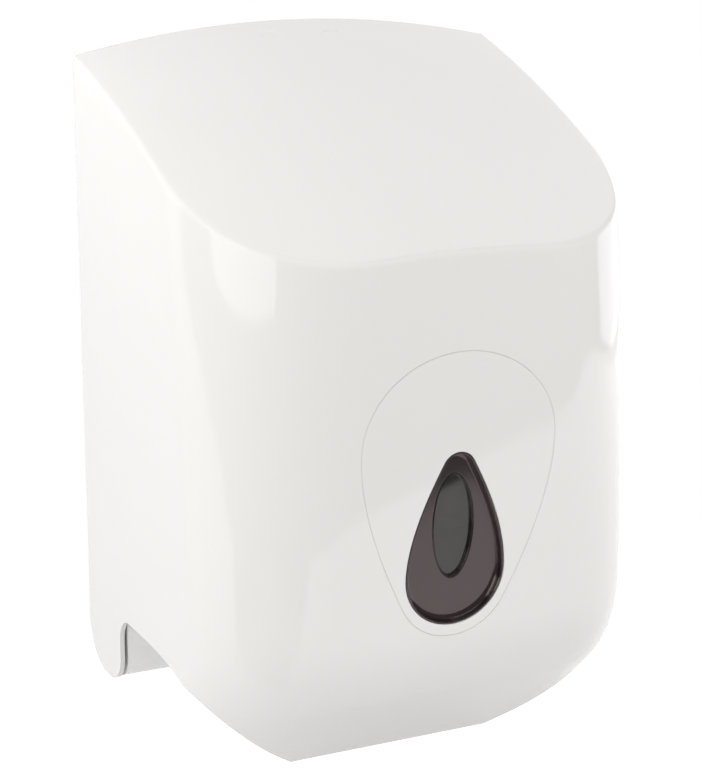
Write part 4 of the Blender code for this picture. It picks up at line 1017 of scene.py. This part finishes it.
def smoked():
    """Smoked transparent plastic, polished, with a slow drift in its depth of colour."""
    made, tree, shader = graph("smoked_polished")
    drift = noise(tree, SMOKE_DRIFT_SCALE)
    tree.links.new(tint(tree, drift.outputs["Fac"], SMOKE_DEEP, SMOKE_LIGHT), shader.inputs["Base Color"])
    smudges = noise(tree, SMUDGE_SCALE, SMUDGE_DETAIL)
    tree.links.new(spread(tree, smudges.outputs["Fac"], *SMOKE_ROUGHNESS), shader.inputs["Roughness"])
    shader.inputs["IOR"].default_value = SMOKE_IOR
    shader.inputs["Specular Tint"].default_value = (*SMOKE_TINT, 1)
    shader.inputs["Coat Weight"].default_value = SMOKE_COAT
    shader.inputs["Coat Roughness"].default_value = SMOKE_COAT_ROUGHNESS
    shader.inputs["Coat Tint"].default_value = (*SMOKE_TINT, 1)
    shader.inputs["Alpha"].default_value = SMOKE_ALPHA
    surface(tree, shader, FINE_GRAIN_SCALE, FINE_GRAIN_HEIGHT, EDGE_ROUNDING)
    return made


def sight_glass():
    """The oval's thinner floor, which shows the chamber as a mottled neutral grey."""
    made, tree, shader = graph("sight_glass_polished")
    mottle = noise(tree, MOTTLE_SCALE, MOTTLE_DETAIL)
    share = spread(tree, mottle.outputs["Fac"], 0.0, 1.0)
    tree.links.new(tint(tree, share, GLASS_DEEP, GLASS_LIGHT), shader.inputs["Base Color"])
    shader.inputs["Roughness"].default_value = GLASS_ROUGHNESS
    shader.inputs["IOR"].default_value = SMOKE_IOR
    shader.inputs["Specular Tint"].default_value = (*GLASS_TINT, 1)
    shader.inputs["Coat Weight"].default_value = GLASS_COAT
    shader.inputs["Coat Roughness"].default_value = GLASS_COAT_ROUGHNESS
    shader.inputs["Alpha"].default_value = GLASS_ALPHA
    surface(tree, shader, FINE_GRAIN_SCALE, FINE_GRAIN_HEIGHT, EDGE_ROUNDING)
    return made


def plated():
    """Zinc-plated steel: metallic, with fine drawn scratches and dull patches."""
    made, tree, shader = graph("zinc_plated_steel")
    patches = noise(tree, PLATING_SCALE, PLATING_DETAIL)
    colour = tint(tree, patches.outputs["Fac"], STEEL_DULL, STEEL_BRIGHT)
    tree.links.new(colour, shader.inputs["Base Color"])
    scratches = noise(tree, SCRATCH_SCALE, SCRATCH_DETAIL)
    tree.links.new(spread(tree, scratches.outputs["Fac"], *STEEL_ROUGHNESS), shader.inputs["Roughness"])
    shader.inputs["Metallic"].default_value = 1.0
    surface(tree, shader, SCRATCH_SCALE, SCRATCH_DEPTH, WIRE_ROUNDING)
    return made


# Studio

def set_camera():
    data = bpy.data.cameras.new("camera")
    data.sensor_width = CAMERA_SENSOR_MM
    data.lens = CAMERA_LENS_MM
    data.clip_start = CAMERA_CLIP_START
    camera = bpy.data.objects.new("camera", data)
    level = math.cos(CAMERA_PITCH)
    forward = Vector((math.sin(CAMERA_YAW) * level, math.cos(CAMERA_YAW) * level, -math.sin(CAMERA_PITCH)))
    camera.location = CAMERA_PLACE
    camera.rotation_euler = forward.to_track_quat('-Z', 'Y').to_euler()
    bpy.context.scene.collection.objects.link(camera)
    bpy.context.scene.camera = camera


def softbox(name, bearing, rise, distance, size, power, in_gloss):
    """A rectangular lamp that faces the cover."""
    bearing, rise = math.radians(bearing), math.radians(rise)
    level = math.cos(rise)
    towards = Vector((math.sin(bearing) * level, -math.cos(bearing) * level, math.sin(rise)))
    data = bpy.data.lights.new(name, 'AREA')
    data.shape = 'RECTANGLE'
    data.size, data.size_y = size
    data.energy = power
    light = bpy.data.objects.new(name, data)
    light.visible_glossy = in_gloss
    light.location = Vector(LAMP_CENTRE) + towards * distance
    light.rotation_euler = (-towards).to_track_quat('-Z', 'Y').to_euler()
    bpy.context.scene.collection.objects.link(light)


def join_math(tree, operation, *values):
    """The result of a math node on values and sockets."""
    return add(tree, "ShaderNodeMath", list(enumerate(values)), operation=operation).outputs[0]


def backdrop(tree):
    """The studio's brightness by direction: white at the backdrop, dimmer in the room before it."""
    away = add(tree, "ShaderNodeTexCoord").outputs["Generated"]
    parts = add(tree, "ShaderNodeSeparateXYZ", [("Vector", away)])
    lifted = join_math(tree, 'MULTIPLY_ADD', parts.outputs["Z"], BACKDROP_RISE_SHARE, parts.outputs["Y"])
    return spread(tree, lifted, ROOM, 1.0, *BACKDROP_EDGE)


def set_world():
    """White to the camera, the backdrop and the room in gloss and glass, and even light for the rest."""
    world = bpy.data.worlds.new("studio")
    bpy.context.scene.world = world
    world.use_nodes = True
    tree = world.node_tree
    tree.nodes.clear()
    rays = add(tree, "ShaderNodeLightPath").outputs
    seen = join_math(tree, 'MAXIMUM', rays["Is Camera Ray"], rays["Is Glossy Ray"])
    shown = join_math(tree, 'MAXIMUM', seen, rays["Is Transmission Ray"])
    reflected = join_math(tree, 'MAXIMUM', backdrop(tree), rays["Is Camera Ray"])
    ambient = add(tree, "ShaderNodeBackground", [("Color", (1, 1, 1, 1)), ("Strength", AMBIENT)])
    white = add(tree, "ShaderNodeBackground", [("Color", (1, 1, 1, 1)), ("Strength", reflected)])
    mix = add(tree, "ShaderNodeMixShader", [(0, shown), (1, ambient.outputs[0]), (2, white.outputs[0])])
    add(tree, "ShaderNodeOutputWorld", [("Surface", mix.outputs[0])])


def flat(name, corners, height):
    mesh = bpy.data.meshes.new(name)
    mesh.from_pydata([(x, y, height) for x, y in corners], [], [tuple(range(len(corners)))])
    made = bpy.data.objects.new(name, mesh)
    bpy.context.scene.collection.objects.link(made)
    return made


def paper(sheet, name, grey, roughness, glow):
    """Give a flat stage piece a matt grey with a glow over it, whose strength glow makes in the tree."""
    made, tree, shader = graph(name)
    shader.inputs["Base Color"].default_value = (grey, grey, grey, 1)
    shader.inputs["Roughness"].default_value = roughness
    light = add(tree, "ShaderNodeEmission", [("Color", (1, 1, 1, 1)), ("Strength", glow(tree))])
    both = add(tree, "ShaderNodeAddShader", [(0, shader.outputs[0]), (1, light.outputs[0])])
    tree.links.new(both.outputs[0], tree.nodes["Material Output"].inputs["Surface"])
    sheet.data.materials.append(made)


def set_card():
    """The white sheet under the dispenser, which only gloss and glass show, with the dispenser's shadow
    painted into its glow as a dimmer patch.
    """
    def glow(tree):
        place = add(tree, "ShaderNodeTexCoord").outputs["Object"]
        ends = [(0, place), (1, CARD_PAINTED_SHADOW_CENTRE)]
        away = add(tree, "ShaderNodeVectorMath", ends, operation='DISTANCE')
        # A painted shadow: the glow is dimmer near the dispenser.
        return spread(tree, away.outputs["Value"], CARD_PAINTED_SHADOW, CARD_SHINE, *CARD_PAINTED_SHADOW_RADII)

    card = flat("white_card", CARD_CORNERS, CARD_HEIGHT)
    card.visible_camera = False
    card.visible_shadow = False
    card.visible_diffuse = False
    paper(card, "white_card", CARD_GREY, CARD_ROUGHNESS, glow)


def set_floor():
    """A pale floor well below the dispenser, which the camera sees as white as the backdrop."""
    def glow(tree):
        camera_ray = add(tree, "ShaderNodeLightPath").outputs["Is Camera Ray"]
        return join_math(tree, 'MULTIPLY', camera_ray, 1 - FLOOR_GREY * AMBIENT)

    half = FLOOR_WIDTH / 2
    floor = flat("floor", [(-half, -half), (half, -half), (half, half), (-half, half)], FLOOR_HEIGHT)
    paper(floor, "pale_floor", FLOOR_GREY, FLOOR_ROUGHNESS, glow)


# Hanging the pieces on their bodies

def hang(body, rides_on, slot, materials, *nodes):
    """Move a piece to the row frame, give it its looks and let it stand for its solids."""
    for vertex in body.data.vertices:
        vertex.co.z -= ORIGIN_HEIGHT
    body.data.materials.clear()
    for made in materials:
        body.data.materials.append(made)
    body.data.shade_smooth()
    body.data.set_sharp_from_angle(angle=SMOOTH_BELOW)
    body.data.name = body.name
    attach(body, rides_on)
    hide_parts(*nodes)
    return body


def dress(name, made):
    """Give a solid that is shown as it is a material and smooth round faces."""
    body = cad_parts[name]
    body.data.materials.clear()
    body.data.materials.append(made)
    body.data.shade_smooth()
    weld = body.modifiers.new("weld", 'WELD')
    weld.merge_threshold = MERGE_DISTANCE
    split = body.modifiers.new("crisp_edges", 'EDGE_SPLIT')
    split.split_angle = SMOOTH_BELOW


def build():
    white = moulded("white_gloss_plastic", WHITE, WHITE_SHADE, WHITE_ROUGHNESS, GRAIN_HEIGHT)
    # The inner parts' white is lighter than the cover's, as painted light for parts in the shade under the
    # cover.
    inner = moulded("white_satin_plastic_painted_light", INNER_WHITE_WITH_PAINTED_LIGHT, INNER_SHADE_WITH_PAINTED_LIGHT, INNER_ROUGHNESS, FINE_GRAIN_HEIGHT)
    grey = moulded("grey_satin_plastic", GREY, GREY_SHADE, GREY_ROUGHNESS, COARSE_GRAIN_HEIGHT)
    steel = plated()

    hang(front_cover(), "cover", "white_plastic", [white], "front_cover")
    hang(window_panel(), "cover", "white_plastic", [white], "window_panel")
    tray = hang(lens_tray(), "cover", "smoked_plastic", [smoked(), sight_glass()], "window_lens")
    glaze(tray, 1)

    for name in ("back_plate", "base_shelf", "latch_housing", "window_retainer"):
        dress(name, inner)
    for name in ("outlet_nozzle", "nozzle_collar", "tear_ring", "latch_bar"):
        dress(name, grey)
    for name in ("hinge_pin_left", "hinge_pin_right"):
        dress(name, steel)
    for number in SCREW_NUMBERS:
        name = f"window_screw_{number}"
        hang(pan_screw(name, (0, -1, 0)), "cover", "plated_steel", [steel], name)
        name = f"shelf_screw_{number}"
        hang(pan_screw(name, (0, 0, -1)), "wall_unit", "plated_steel", [steel], name)
    for word in ("left", "right"):
        name = f"latch_screw_{word}"
        hang(pan_screw(name, (0, 1, 0)), "wall_unit", "plated_steel", [steel], name)
        name = f"latch_spring_{word}"
        coil = hang(spring_coil(name), "wall_unit", "plated_steel", [steel], name)
        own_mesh(coil)


set_camera()
set_world()
set_floor()
set_card()
for lamp in LAMPS:
    softbox(*lamp)
build()

bpy.context.scene.view_settings.view_transform = 'Standard'
